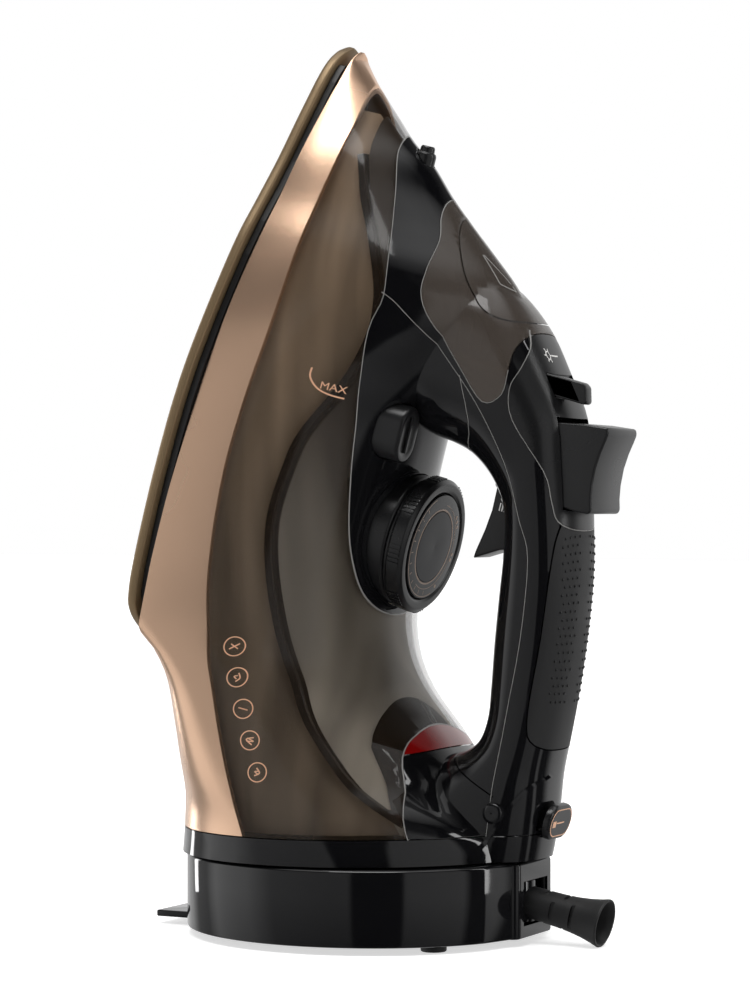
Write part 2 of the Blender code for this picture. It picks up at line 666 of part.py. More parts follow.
def split_casing(shell):
    """Cuts the shell along its seams and names the separate walls that result."""
    ring_top = HEEL_Z + HEEL_RING_HEIGHT
    heel_ring = keep(copy_of(shell, "heel_ring"), level_box(HEEL_Z, ring_top))
    cut(shell, level_box(-1, ring_top + SEAM))
    for line in (SKIRT_SEAM, TANK_SEAM, SHOULDER_SEAM, PILLAR_SEAM, REAR_SEAM, LAMP_SEAM, FOOT_SEAM,
                 DOOR_SEAM, FILL_SEAM, PANEL_SEAM, GRIP_SEAM):
        cut(shell, seam_cutter(line))
    bpy.ops.object.select_all(action="DESELECT")
    shell.select_set(True)
    bpy.context.view_layer.objects.active = shell
    bpy.ops.mesh.separate(type="LOOSE")
    loose = list(bpy.context.selected_objects)
    named = {"heel_ring": heel_ring}
    for name, (u, v, h) in CASING_PIECES.items():
        spot = stretch(u, v, h)
        nearest = min(loose, key=lambda p: (p.closest_point_on_mesh(spot)[1] - spot).length)
        loose.remove(nearest)
        nearest.name = name
        nearest.data.name = name
        named[name] = nearest
    for scrap in loose:
        bpy.data.objects.remove(scrap)
    return named


# A drawn point on the outer wall of each casing piece
CASING_PIECES = {
    "rose_skirt": (0.17, 0.0588, 0.014),
    "water_tank": (0.17, 0.052, 0.038),
    "side_housing": (0.205, 0.033, 0.057),
    "upper_housing": (0.262, 0.02, 0.045),
    "front_window": (0.225, 0.018, 0.082),
    "fill_door": (0.25, 0.006, 0.075),
    "control_panel": (0.222, 0, 0.105),
    "handle_frame": (0.14, 0, 0.106),
    "grip_pad": (0.14, 0, 0.1327),
    "lamp_lens": (0.097, 0, 0.095),
    "rear_panel": (0.08, 0.025, 0.108),
}


def level_strip(low_h, high_h, low_z, high_z):
    """A side-view strip between two levels, from one drawn height to another."""
    outline = [drawn_at_level(low_h, low_z), drawn_at_level(high_h, low_z),
               drawn_at_level(high_h, high_z), drawn_at_level(low_h, high_z)]
    return slab("strip", outline, -IRON_WIDTH, IRON_WIDTH)


def seam_strip(line, low, high):
    """A side-view strip that follows a seam, from one height above it to another."""
    lower = [(u, h + low) for u, h in line]
    upper = [(u, h + high) for u, h in line]
    return slab("strip", lower + upper[::-1], -IRON_WIDTH, IRON_WIDTH)


TANK_COVER = [
    (0.276, 0.0236), (0.27, 0.027), (0.262, 0.0315), (0.25, 0.04), (0.238, 0.0472), (0.228, 0.0502), (0.218, 0.05), (0.204, 0.0468), (0.186, 0.04),
    (0.174, 0.0382), (0.156, 0.038), (0.138, 0.0418), (0.119, 0.049), (0.106, 0.0585), (0.097, 0.066), (0.087, 0.077), (0.08, 0.087), (0.073, 0.105),
]
TANK_COVER_WALL = 0.0016


def close_tank(tank):
    """Gives the open tank its floor and its bottom wall, and the wells that shafts and rods pass through."""
    inner = body_block("inner", WALL / 2)
    floor = keep(copy_of(inner, "floor"), seam_strip(SKIRT_SEAM[1:-2], SEAM, SEAM + FLOOR_WALL))
    level = HEEL_Z + HEEL_RING_HEIGHT + SEAM + GAP
    bottom = keep(inner, level_strip(0.0615, 0.107, level, level + FLOOR_WALL))
    cut(floor, level_box(-1, level))
    join(tank, floor, bottom)
    cut(tank, *tank_wells())
    return tank


def tank_wells():
    """Cutters for the shaft tube and the valve seat."""
    well = SHAFT_RADIUS + SHAFT_TUBE_WALL + 2 * GAP
    return [
        rod("shaft_well", well, side_point(DIAL_U, 0.014), 0.035, sides=16),
        rod("valve_well", VALVE_SEAT_RADIUS + GAP, side_point(VALVE_U, 0.014), 0.05, sides=16),
    ]


def tank_cover():
    """The curved wall that closes the tank under the dry upper half."""
    cover = keep(body_block("tank_cover", WALL + GAP), seam_cutter(TANK_COVER, TANK_COVER_WALL))
    cut(cover, level_box(-1, HEEL_Z + HEEL_RING_HEIGHT + SEAM + GAP + FLOOR_WALL + GAP))
    cut(cover, *tank_wells())
    return cut(cover, rod("funnel_hole", FUNNEL_PIPE_RADIUS + GAP, side_point(FUNNEL_U, 0.02), 0.04, sides=16))


# ---------------------------------------------------------------- soleplate and heater
def soleplate():
    levels = [(SOLE_EDGE, 0), (0, SOLE_EDGE), (0, SOLE_THICKNESS - SOLE_EDGE / 2), (SOLE_EDGE / 2, SOLE_THICKNESS)]
    rings = [[stretch(u, v, 0) + Vector((0, 0, h)) for u, v in sole_outline(inset)] for inset, h in levels]
    plate = loft("soleplate", rings)
    for u, v in STEAM_HOLES:
        cut(plate, rod("hole", STEAM_HOLE_RADIUS, stretch(u, v, 0) - Vector((0, 0, 0.002)), 0.009, sides=8))
    return plate


STEAM_HOLES = [(0.276, 0), (0.262, 0.009), (0.262, -0.009), (0.24, 0.019), (0.24, -0.019), (0.214, 0.027), (0.214, -0.027), (0.186, 0.031), (0.186, -0.031)]


def casting_block(name, inset, low, high):
    rings = [[stretch(u, v, 0) + Vector((0, 0, h)) for u, v in sole_outline(inset)] for h in (low, high)]
    return loft(name, rings)


CASTING_LOW = SOLE_THICKNESS + GAP
CASTING_HIGH = CASTING_LOW + CASTING_HEIGHT
VALVE_U = 0.218
VALVE_SEAT_RADIUS = 0.0045
ELEMENT_PATH = [
    (0.112, 0.02), (0.128, 0.03), (0.15, 0.036), (0.18, 0.036), (0.208, 0.03), (0.232, 0.02), (0.248, 0.008), (0.252, 0),
    (0.248, -0.008), (0.232, -0.02), (0.208, -0.03), (0.18, -0.036), (0.15, -0.036), (0.128, -0.03), (0.112, -0.02),
]


def heater():
    """The cast block, with a bed for the element, then the element and the lid of the steam chamber."""
    casting = casting_block("heater_casting", CASTING_INSET, CASTING_LOW, CASTING_HIGH)
    centre = CASTING_HIGH - 0.0006
    path = [stretch(u, v, 0) + Vector((0, 0, centre)) for u, v in ELEMENT_PATH]
    beyond = [path[0] * 2 - path[1]] + path + [path[-1] * 2 - path[-2]]
    cut(casting, tube("bed", beyond, ELEMENT_RADIUS + GAP))
    element = tube("heating_element", path, ELEMENT_RADIUS)
    lid_low = CASTING_HIGH + GAP
    lid = loft("steam_chamber_lid", [
        [stretch(u, v, 0) + Vector((0, 0, h)) for u, v in LID_OUTLINE] for h in (lid_low, lid_low + LID_THICKNESS)
    ])
    return casting, element, lid


LID_THICKNESS = 0.0016
LID_OUTLINE = [(0.176, -0.022), (0.206, -0.02), (0.228, -0.012), (0.238, 0), (0.228, 0.012), (0.206, 0.02), (0.176, 0.022)]


# ---------------------------------------------------------------- dial and thermostat
THERMOSTAT_LOW = CASTING_HIGH + GAP
FUNNEL_U = 0.25
FUNNEL_PIPE_RADIUS = 0.004


def dial():
    """Collar, dial, its cap, the shaft with its tube, and the thermostat, all on the dial's axis."""
    foot = side_point(DIAL_U, COLLAR_BOTTOM)
    bore = SHAFT_RADIUS + GAP
    wall = 0.0022
    collar = turned("dial_collar", [
        (bore, 0), (COLLAR_RADIUS, 0), (COLLAR_RADIUS, COLLAR_HEIGHT), (COLLAR_RADIUS - wall, COLLAR_HEIGHT),
        (COLLAR_RADIUS - wall, wall), (bore, wall),
    ], foot, sides=32, hollow=True)
    low = COLLAR_HEIGHT + RUNNING
    top = low + DIAL_HEIGHT
    seat = top - DIAL_CAP_DEPTH - GAP
    knob = turned("dial_knob", [
        (bore, low - 0.003), (DIAL_HUB_RADIUS, low - 0.003), (DIAL_HUB_RADIUS, low + wall),
        (DIAL_RADIUS - wall, low + wall), (DIAL_RADIUS - wall, low), (DIAL_RADIUS, low),
        (DIAL_RADIUS, top - 0.001), (DIAL_RADIUS - 0.001, top), (DIAL_CAP_RADIUS + GAP, top),
        (DIAL_CAP_RADIUS + GAP, seat), (bore, seat),
    ], foot, sides=40, hollow=True)
    cap = rod("dial_cap", DIAL_CAP_RADIUS, foot + Vector((0, 0, seat + GAP)), DIAL_CAP_DEPTH, sides=32)
    u, _, h = side_point(DIAL_U, 0)
    length, width, height = THERMOSTAT_SIZE
    thermostat = box("thermostat", (u - length / 2, -width / 2, THERMOSTAT_LOW),
                     (u + length / 2, width / 2, THERMOSTAT_LOW + height))
    shaft_low = THERMOSTAT_LOW + height + GAP
    shaft = rod("thermostat_shaft", SHAFT_RADIUS, (u, 0, shaft_low), foot.z + seat - shaft_low)
    tube_low = side_point(0, 0.022).z
    shaft_tube = sleeve("shaft_tube", bore + SHAFT_TUBE_WALL, bore, (u, 0, tube_low), foot.z - GAP - tube_low)
    return collar, knob, cap, thermostat, shaft, shaft_tube


# ---------------------------------------------------------------- steam and spray
PUMP_PLACE = [0.2015, 0.084]
PUMP_RADIUS = 0.0065
PUMP_HEIGHT = 0.013
STEAM_PUMP_PLACE = [0.167, 0.112]
STEAM_PUMP_RADIUS = 0.005
STEAM_PUMP_HEIGHT = 0.0083
SPRAY_PATH = [(0.2094, 0, 0.087), (0.2115, 0.005, 0.078), (0.226, 0.012, 0.06), (0.24, 0.012, 0.053), (0.254, 0.008, 0.044), (0.2604, 0.0005, 0.0386)]
STEAM_PATH = [(0.174, 0, 0.117), (0.176, -0.009, 0.1155), (0.1785, -0.0146, 0.112), (0.19, -0.0146, 0.101), (0.203, -0.013, 0.09),
                 (0.208, -0.01, 0.078), (0.208, -0.01, 0.052)]


def steam_works():
    """Nozzle, pumps, tubes, funnel, and the valve with its rod and lever."""
    tip = side_point(*NOZZLE_TIP)
    nozzle = turned("spray_nozzle", [
        (NOZZLE_BORE_RADIUS, 0), (NOZZLE_RADIUS, 0), (NOZZLE_RADIUS, NOZZLE_LENGTH - 0.0012),
        (NOZZLE_RADIUS - 0.0012, NOZZLE_LENGTH), (NOZZLE_BORE_RADIUS, NOZZLE_LENGTH),
    ], nozzle_start(), (1, 0, 0), sides=16, hollow=True)
    funnel = side_point(FUNNEL_U, 0.036)
    wall = 0.0012
    profile = [
        (FUNNEL_PIPE_RADIUS - wall, 0), (FUNNEL_PIPE_RADIUS, 0), (FUNNEL_PIPE_RADIUS, 0.014),
        (0.0085, 0.026), (0.0085 - wall, 0.026), (FUNNEL_PIPE_RADIUS - wall, 0.0146),
    ]
    seat = side_point(VALVE_U, 0) + Vector((0, 0, CASTING_HIGH + 2 * GAP + LID_THICKNESS))
    rod_low = seat + Vector((0, 0, 0.002))
    rod_top = side_point(0, LEVER_FOOT[0][1]).z - VALVE_LIFT - 2 * GAP
    pieces = {
        "spray_nozzle": nozzle,
        "fill_funnel": turned("fill_funnel", profile, funnel, sides=16, hollow=True),
        "spray_pump": rod("spray_pump", PUMP_RADIUS, side_point(*PUMP_PLACE), PUMP_HEIGHT),
        "steam_pump": rod("steam_pump", STEAM_PUMP_RADIUS, side_point(*STEAM_PUMP_PLACE), STEAM_PUMP_HEIGHT),
        "spray_tube": tube("spray_tube", [stretch(*p) for p in SPRAY_PATH], TUBE_RADIUS),
        "steam_tube": tube("steam_tube", [stretch(*p) for p in STEAM_PATH], TUBE_RADIUS),
        "valve_seat": sleeve("valve_seat", VALVE_SEAT_RADIUS, VALVE_ROD_RADIUS + GAP, seat, 0.012, sides=16),
        "valve_rod": rod("valve_rod", VALVE_ROD_RADIUS, rod_low, rod_top - rod_low.z, sides=10),
    }
    lever = slab("steam_lever", LEVER_FIN, LEVER_REST_V - LEVER_WIDTH / 2, LEVER_REST_V + LEVER_WIDTH / 2)
    foot = slab("foot", LEVER_FOOT, LEVER_REST_V - LEVER_WIDTH / 2, LEVER_REST_V + LEVER_WIDTH / 2)
    pieces["steam_lever"] = join(lever, foot)
    return pieces


def buttons():
    """The spray button, the self-clean button and the steam trigger, with their springs and the trigger's pin."""
    clean = clean_place()
    pin = side_point(*TRIGGER_PIN_PLACE)
    trigger = slab("steam_trigger", TRIGGER_SIDE, -TRIGGER_WIDTH / 2, TRIGGER_WIDTH / 2)
    cut(trigger, rod("bore", TRIGGER_PIN_RADIUS + GAP, pin - Vector((0, TRIGGER_WIDTH, 0)), 2 * TRIGGER_WIDTH,
                     (0, 1, 0), 12))
    reach = 0.0115
    pump_top = side_point(*PUMP_PLACE) + Vector((0, 0, PUMP_HEIGHT + GAP))
    thumb_low = side_point(0, THUMB_SIDE[0][1]).z
    steam_low = side_point(0, 0.1064) + Vector((side_point(STEAM_PUMP_PLACE[0], 0).x, 0, 0))
    steam_room = side_point(*STEAM_PUMP_PLACE).z - steam_low.z - GAP
    clean_low = clean - Vector((0, 0, CLEAN_DEPTH + 0.009))
    return {
        "spray_button": slab("spray_button", THUMB_SIDE, -THUMB_WIDTH / 2, THUMB_WIDTH / 2),
        "spray_spring": spring("spray_spring", pump_top, 0.0036, thumb_low - pump_top.z - GAP, 5),
        "clean_button": oval("clean_button", CLEAN_SIZE, clean, -CLEAN_DEPTH, 0),
        "clean_spring": spring("clean_spring", clean_low, 0.0034, 0.0086, 4),
        "steam_trigger": trigger,
        "trigger_pin": rod("trigger_pin", TRIGGER_PIN_RADIUS, pin - Vector((0, reach, 0)), 2 * reach, (0, 1, 0), 12),
        "trigger_spring": spring("trigger_spring", steam_low, 0.0026, steam_room, 3),
    }


# ---------------------------------------------------------------- handle and heel fittings
def electrics():
    """The heat shield, the thermal fuse, the lamp holder and the control board."""
    shield = loft("heat_shield", [
        [stretch(u, v, 0) + Vector((0, 0, h)) for u, v in sole_outline(0.003)] for h in (CASTING_LOW, SHIELD_HIGH)
    ])
    hollow = [[stretch(u, v, 0) + Vector((0, 0, h)) for u, v in sole_outline(CASTING_INSET - 0.002)]
              for h in (CASTING_LOW - WALL, SHIELD_HIGH + WALL)]
    cut(shield, loft("room", hollow))
    fuse = rod("thermal_fuse", 0.002, side_point(0.122, 0) + Vector((0, 0, THERMOSTAT_LOW + 0.002)), 0.012,
               (1, 0, 0), 10)
    board = slab("control_board", [(0.073, 0.112), (0.091, 0.112), (0.091, 0.1136), (0.073, 0.1136)], -0.011, 0.011)
    holder = slab("lamp_holder", [(0.0825, 0.091), (0.0885, 0.091), (0.0885, 0.097), (0.0825, 0.097)], -0.007, 0.007)
    return {"heat_shield": shield, "thermal_fuse": fuse, "control_board": board, "lamp_holder": holder}


SHIELD_HIGH = SKIRT_BOTTOM - GAP


def lock():
    """The slider that locks the iron to its base: a cap outside the rear face and a stem inside it."""
    middle = side_point(*LOCK_PLACE)
    slider = oval("lock_slider", LOCK_SIZE, middle, 0, LOCK_CAP)
    stem = box("stem", (-LOCK_STEM[0] / 2, -LOCK_STEM[1] / 2, -0.008), (LOCK_STEM[0] / 2, LOCK_STEM[1] / 2, 0.001))
    stem.data.transform(Matrix.Translation(middle))
    hook = slab("lock_hook", [(0.0765, 0.1284), (0.086, 0.1284), (0.086, 0.1306), (0.0765, 0.1306)], -0.003, 0.003)
    return {"lock_slider": join(slider, stem), "lock_hook": hook}


def build_iron(parts):
    """Every piece of the iron in its own axes."""
    shell = split_casing(casing_shell())
    shell["water_tank"] = close_tank(shell["water_tank"])
    for name, piece in shell.items():
        parts[name] = (piece, CASING_LOOKS[name])
    casting, element, lid = heater()
    collar, knob, cap, thermostat, shaft, shaft_tube = dial()
    parts["soleplate"] = (soleplate(), "bronze_ceramic")
    for piece in (casting, element, lid, shaft, thermostat):
        parts[piece.name] = (piece, "aluminium")
    for piece in (collar, knob):
        parts[piece.name] = (piece, "polished_black")
    parts["dial_cap"] = (cap, "rose_gold")
    parts["shaft_tube"] = (shaft_tube, "nylon")
    parts["tank_cover"] = (tank_cover(), "satin_black")
    for group in (steam_works(), buttons(), electrics(), lock()):
        for name, piece in group.items():
            parts[name] = (piece, FITTING_LOOKS.get(name, "nylon"))


CASING_LOOKS = {
    "rose_skirt": "rose_gold",
    "water_tank": "smoked_clear",
    "side_housing": "polished_black",
    "upper_housing": "polished_black",
    "front_window": "smoked_clear",
    "fill_door": "smoked_clear",
    "control_panel": "satin_black",
    "handle_frame": "polished_black",
    "grip_pad": "soft_black",
    "lamp_lens": "lamp_red",
    "rear_panel": "polished_black",
    "heel_ring": "satin_black",
}
FITTING_LOOKS = {
    "spray_nozzle": "satin_black",
    "valve_seat": "brass",
    "valve_rod": "brass",
    "steam_lever": "satin_black",
    "spray_button": "satin_black",
    "clean_button": "satin_black",
    "steam_trigger": "satin_black",
    "spray_spring": "aluminium",
    "clean_spring": "aluminium",
    "trigger_spring": "aluminium",
    "trigger_pin": "aluminium",
    "heat_shield": "satin_black",
    "thermal_fuse": "aluminium",
    "control_board": "board",
    "lock_slider": "satin_black",
}


# ---------------------------------------------------------------- power base
BASE_LEFT_X = heel_x(UNDERSIDE[1][1]) + BASE_FRONT_SETBACK
BASE_RIGHT_X = heel_x(CREST[0][1]) + BASE_REAR_MARGIN
BASE_HALF_WIDTH = (BODY_HALF_WIDTH[0][1] + BASE_SIDE_MARGIN) * IRON_WIDTH / DRAWN_WIDTH
BASE_TOP = HEEL_Z - 0.0003
CONTACT_X = (BASE_LEFT_X + BASE_RIGHT_X) / 2
GUARD_PIVOT = Vector((BASE_RIGHT_X - GUARD_PIVOT_SETBACK, 0, GUARD_PIVOT_Z))
GUARD_AXIS = Vector((math.cos(GUARD_DROOP), 0, -math.sin(GUARD_DROOP)))


def base_outline(inset):
    """The power base's outline in plan: an ellipse whose rear runs out into a flat block."""
    middle = (BASE_LEFT_X + BASE_RIGHT_X) / 2
    reach = (BASE_RIGHT_X - BASE_LEFT_X) / 2 - inset
    first = math.acos(0.9)
    steps = 34
    ring = []
    for k in range(steps + 1):
        turn = first + (2 * math.pi - 2 * first) * k / steps
        ring.append((middle + reach * math.cos(turn), (BASE_HALF_WIDTH - inset) * math.sin(turn)))
    rear, side = BASE_RIGHT_X - inset, BASE_BLOCK_HALF_WIDTH - inset / 2
    return ring + [(rear, -side), (rear, side)]


def base_block(name, inset, low, high):
    return loft(name, [[Vector((x, y, z)) for x, y in base_outline(inset)] for z in (low, high)])


def contact_box(name, grow, low, high):
    x, y = CONTACT_POST[0] / 2 + grow, CONTACT_POST[1] / 2 + grow
    return box(name, (CONTACT_X - x, -y, low), (CONTACT_X + x, y, high))


def base():
    """The power base's shell and bottom, contact block, tongue, feet, screws and cord guard."""
    floor = BASE_FOOT_HEIGHT + BASE_WALL
    housing = cut(base_block("base_housing", 0, BASE_FOOT_HEIGHT, BASE_TOP),
                  base_block("room", BASE_WALL, -BASE_WALL, BASE_TOP - BASE_WALL))
    cut(housing, contact_box("post_hole", RUNNING, BASE_TOP / 2, BASE_TOP + BASE_WALL))
    slot_half = GUARD_NECK_RADIUS + GUARD_PIVOT_SETBACK * math.tan(GUARD_SWING) + 0.001
    slot_low, slot_high = GUARD_PIVOT.z - 0.0084, GUARD_PIVOT.z + 0.006
    cut(housing, box("guard_slot", (BASE_RIGHT_X - 2 * BASE_WALL, -slot_half, slot_low),
                     (BASE_RIGHT_X + BASE_WALL, slot_half, slot_high)))
    bottom = base_block("base_bottom", BASE_WALL + GAP, BASE_FOOT_HEIGHT, floor)
    tongue_x = BASE_LEFT_X - TONGUE[0]
    tongue = box("tongue", (tongue_x, -TONGUE[1] / 2, BASE_FOOT_HEIGHT),
                 (BASE_LEFT_X + BASE_WALL / 2 + 0.001, TONGUE[1] / 2, BASE_FOOT_HEIGHT + TONGUE[2]))
    pieces = {}
    for number, (x, y) in enumerate(BASE_SCREW_PLACES, 1):
        post = rod("post", SCREW_BOSS_RADIUS, (x, y, floor + GAP), BASE_TOP - BASE_WALL / 2 - floor - GAP)
        join(housing, post)
        depth = 0.012
        cut(housing, rod("bore", SCREW_SHANK_RADIUS + GAP, (x, y, 0), floor + depth + GAP))
        cut(bottom, rod("hole", SCREW_RADIUS + GAP, (x, y, 0), floor - 0.0009))
        cut(bottom, rod("bore", SCREW_SHANK_RADIUS + GAP, (x, y, 0), floor + depth))
        head = floor - 0.0009 - GAP - 0.0012
        pieces[f"base_screw_{number}"] = turned(f"base_screw_{number}", [
            (SCREW_RADIUS, 0), (SCREW_RADIUS, 0.0012), (SCREW_SHANK_RADIUS, 0.0012), (SCREW_SHANK_RADIUS, depth),
        ], (x, y, head), sides=12)
    for number, (x, y) in enumerate(FOOT_PLACES, 1):
        pieces[f"foot_{number}"] = rod(f"foot_{number}", FOOT_RADIUS, (x, y, 0), BASE_FOOT_HEIGHT - 0.0003)
    contact = contact_box("contact_block", 0, floor + GAP, HEEL_Z + CONTACT_POST_RISE)
    join(contact, contact_box("flange", CONTACT_FLANGE, floor + GAP, floor + GAP + CONTACT_FLANGE))
    pieces.update({"base_housing": join(housing, tongue), "base_bottom": bottom, "contact_block": contact})
    pieces["cord_guard"] = cord_guard()
    return pieces


def cord_guard():
    """The bell-mouthed guard on a drum that swivels inside the base."""
    profile = [(GUARD_BORE_RADIUS, 0.002), (GUARD_NECK_RADIUS, 0.002), (GUARD_NECK_RADIUS, 0.012)]
    start, rings = 0.013, 5
    pitch = (GUARD_LENGTH - start) / rings
    for k in range(rings):
        share = (k + 1) / rings
        radius = GUARD_NECK_RADIUS + (GUARD_BELL_RADIUS - GUARD_NECK_RADIUS) * share
        near = start + pitch * k
        profile += [(radius, near), (radius, near + pitch * 0.72)]
        if k < rings - 1:
            profile += [(radius - 0.0012, near + pitch * 0.76), (radius - 0.0012, near + pitch * 0.96)]
    profile.append((GUARD_BORE_RADIUS, GUARD_LENGTH))
    guard = turned("cord_guard", profile, GUARD_PIVOT, GUARD_AXIS, sides=20, hollow=True)
    drum = rod("drum", GUARD_DRUM_RADIUS, GUARD_PIVOT - Vector((0, 0, 0.0056)), 0.0112, sides=20)
    return join(guard, drum)


def heel():
    """The plate that closes the heel, and the socket that takes the base's contact block."""
    plate = join(body_block("heel_plate", WALL + GAP), handle_block("handle", WALL + GAP))
    keep(plate, level_box(HEEL_Z + GAP, HEEL_Z + GAP + HEEL_PLATE))
    plate.data.transform(IRON_PLACE)
    cut(plate, contact_box("hole", RUNNING, HEEL_Z - HEEL_PLATE, HEEL_Z + 2 * HEEL_PLATE + GAP))
    low = HEEL_Z + HEEL_PLATE + 2 * GAP
    top = HEEL_Z + CONTACT_POST_RISE + RUNNING
    socket = contact_box("contact_socket", RUNNING + SOCKET_WALL, low, top + SOCKET_WALL)
    cut(socket, contact_box("room", RUNNING, low - HEEL_PLATE, top))
    return {"heel_plate": plate, "contact_socket": socket}


BASE_LOOKS = {
    "contact_block": "nylon",
    "cord_guard": "soft_black",
    "contact_socket": "nylon",
    "foot_1": "soft_black",
    "foot_2": "soft_black",
    "foot_3": "amber_clear",
}


def joint_origins():
    """Where the pieces that turn have their origins, in the iron's own axes."""
    return {
        "dial_knob": side_point(DIAL_U, COLLAR_BOTTOM),
        "fill_door": side_point(*FILL_HINGE),
        "steam_trigger": side_point(*TRIGGER_PIN_PLACE),
    }


def main():
    for thing in list(bpy.data.objects):
        bpy.data.objects.remove(thing)
    parts = {}
    build_iron(parts)
    iron = empty("iron_frame", IRON_PLACE)
    origins = joint_origins()
    for name, (piece, look) in parts.items():
        finish(piece, look, iron, origins.get(name))
    for name, piece in {**base(), **heel()}.items():
        look = "aluminium" if name.startswith("base_screw") else BASE_LOOKS.get(name, "satin_black")
        finish(piece, look, origin=GUARD_PIVOT if name == "cord_guard" else None)


main()
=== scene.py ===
# %% [markdown]
# # A steam iron on its power base
# The model is a clothes iron that stands on its heel in a low power base. Its body is one moulded
# casing divided by fine seams into a metallic skirt, a smoked water tank, black housings and a loop
# handle. This lesson rebuilds every visible piece finely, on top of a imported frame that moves.

# %% Load the frame
import json
import math
from functools import partial

import bmesh
import bpy
from mathutils import Matrix, Vector


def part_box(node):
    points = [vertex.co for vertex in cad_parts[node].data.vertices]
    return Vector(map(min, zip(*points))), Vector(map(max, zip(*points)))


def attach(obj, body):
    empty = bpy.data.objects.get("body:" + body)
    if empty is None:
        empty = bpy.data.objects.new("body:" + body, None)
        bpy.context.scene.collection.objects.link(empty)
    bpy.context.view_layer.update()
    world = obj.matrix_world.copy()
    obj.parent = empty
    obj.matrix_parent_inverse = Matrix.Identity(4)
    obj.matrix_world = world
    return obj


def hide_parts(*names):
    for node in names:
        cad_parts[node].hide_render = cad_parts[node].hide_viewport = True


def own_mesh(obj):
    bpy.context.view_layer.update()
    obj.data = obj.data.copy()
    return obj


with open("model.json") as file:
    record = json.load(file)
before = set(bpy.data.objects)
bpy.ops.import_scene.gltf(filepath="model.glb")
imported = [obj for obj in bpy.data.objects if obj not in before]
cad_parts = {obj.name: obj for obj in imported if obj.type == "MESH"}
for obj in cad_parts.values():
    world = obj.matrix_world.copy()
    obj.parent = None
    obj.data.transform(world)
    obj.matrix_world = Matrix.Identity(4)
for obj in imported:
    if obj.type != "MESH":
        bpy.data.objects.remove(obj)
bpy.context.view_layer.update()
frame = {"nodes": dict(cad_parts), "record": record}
nodes = frame["nodes"]

# %% [markdown]
# ## Helpers
# Three small functions are used all the way down: one puts an object in the scene, one makes a node and
# wires it in the same breath, and one turns a run of millimetres into the rows of a table in metres.


# %% Helpers
def add_object(name, data):
    thing = bpy.data.objects.new(name, data)
    bpy.context.scene.collection.objects.link(thing)
    return thing


def wired(tree, kind, inputs=None, **settings):
    """A node with its settings; each of its inputs is given a value or another node's output."""
    node = tree.nodes.new(kind)
    for name, value in settings.items():
        setattr(node, name, value)
    for key, value in (inputs or {}).items():
        if isinstance(value, bpy.types.NodeSocket):
            tree.links.new(value, node.inputs[key])
        else:
            node.inputs[key].default_value = value
    return node


def table(width, *millimetres):
    metres = [round(value / 1000, 7) for value in millimetres]
    return [tuple(metres[k:k + width]) for k in range(0, len(metres), width)]

# %% [markdown]
# ## Camera
# The view is level with the middle of the iron and looks at it from its front right. A long lens
# keeps the perspective gentle, as in a catalogue picture.

# %% Camera
VIEW_AZIMUTH = math.radians(26.5)
VIEW_DISTANCE = 1.05
VIEW_TARGET = Vector((-0.0061, 0, 0.1439))
VIEW_LENS = 113.4


def make_camera():
    ahead = Vector((-math.sin(VIEW_AZIMUTH), math.cos(VIEW_AZIMUTH), 0))
    data = bpy.data.cameras.new("camera")
    data.lens, data.sensor_width, data.clip_start = VIEW_LENS, 36, 0.02
    camera = add_object("camera", data)
    camera.location = VIEW_TARGET - ahead * VIEW_DISTANCE
    camera.rotation_euler = ahead.to_track_quat("-Z", "Y").to_euler()
    bpy.context.scene.camera = camera
    print("camera:", [round(v, 3) for v in camera.location])


make_camera()

# %% [markdown]
# ## Floor and light
# Glossy black plastic shows only what it reflects, so the world is drawn as a studio: tall soft boxes
# round the iron with dark gaps between them, and a bright ceiling. Three panels add long highlights down
# the sides and the top. The floor is a pale sheet far wider than the view.

# %% Floor, panels and world
# Turn from the camera's own direction, where 0.5 is straight behind the camera and 0 or 1 behind the iron.
STUDIO_AROUND = ((0, 0.9), (0.09, 0.9), (0.12, 0.35), (0.16, 0.40), (0.19, 1.25), (0.27, 1.15), (0.32, 0.50),
                 (0.42, 0.38), (0.455, 0.38), (0.462, 0.0), (0.545, 0.0), (0.552, 0.50), (0.66, 0.62), (0.675, 0.02),
                 (0.72, 0.02), (0.73, 0.9), (0.745, 0.9), (0.755, 0.03), (0.80, 0.05), (0.84, 0.9), (1, 0.9))
# Height from straight down at 0 to straight up at 1.
STUDIO_WALLS = ((0.2, 0.35), (0.45, 0.9), (0.70, 1.0), (0.78, 0.15), (0.90, 0.05))
STUDIO_CEILING = ((0.88, 0.0), (0.95, 1.6))
FLOOR_GLOW = 0.62
FLOOR_REACH = 6


def make_panel(name, place, aim, size, power):
    data = bpy.data.lights.new(name, "AREA")
    data.shape, data.energy = "RECTANGLE", power
    data.size, data.size_y = size
    panel = add_object(name, data)
    panel.location = place
    panel.rotation_euler = (Vector(aim) - Vector(place)).to_track_quat("-Z", "Y").to_euler()


def make_floor():
    mesh = bpy.data.meshes.new("floor")
    corners = [(-1, -1), (1, -1), (1, 1), (-1, 1)]
    mesh.from_pydata([(x * FLOOR_REACH, y * FLOOR_REACH, 0) for x, y in corners], [], [(0, 1, 2, 3)])
    paint = bpy.data.materials.new("floor_paint")
    paint.use_nodes = True
    shader = paint.node_tree.nodes["Principled BSDF"].inputs
    shader["Base Color"].default_value = (0.93, 0.93, 0.93, 1)
    shader["Roughness"].default_value = 0.7
    shader["Emission Color"].default_value = (1, 1, 1, 1)
    shader["Emission Strength"].default_value = FLOOR_GLOW
    mesh.materials.append(paint)
    floor = add_object("floor", mesh)
    floor.visible_glossy = False


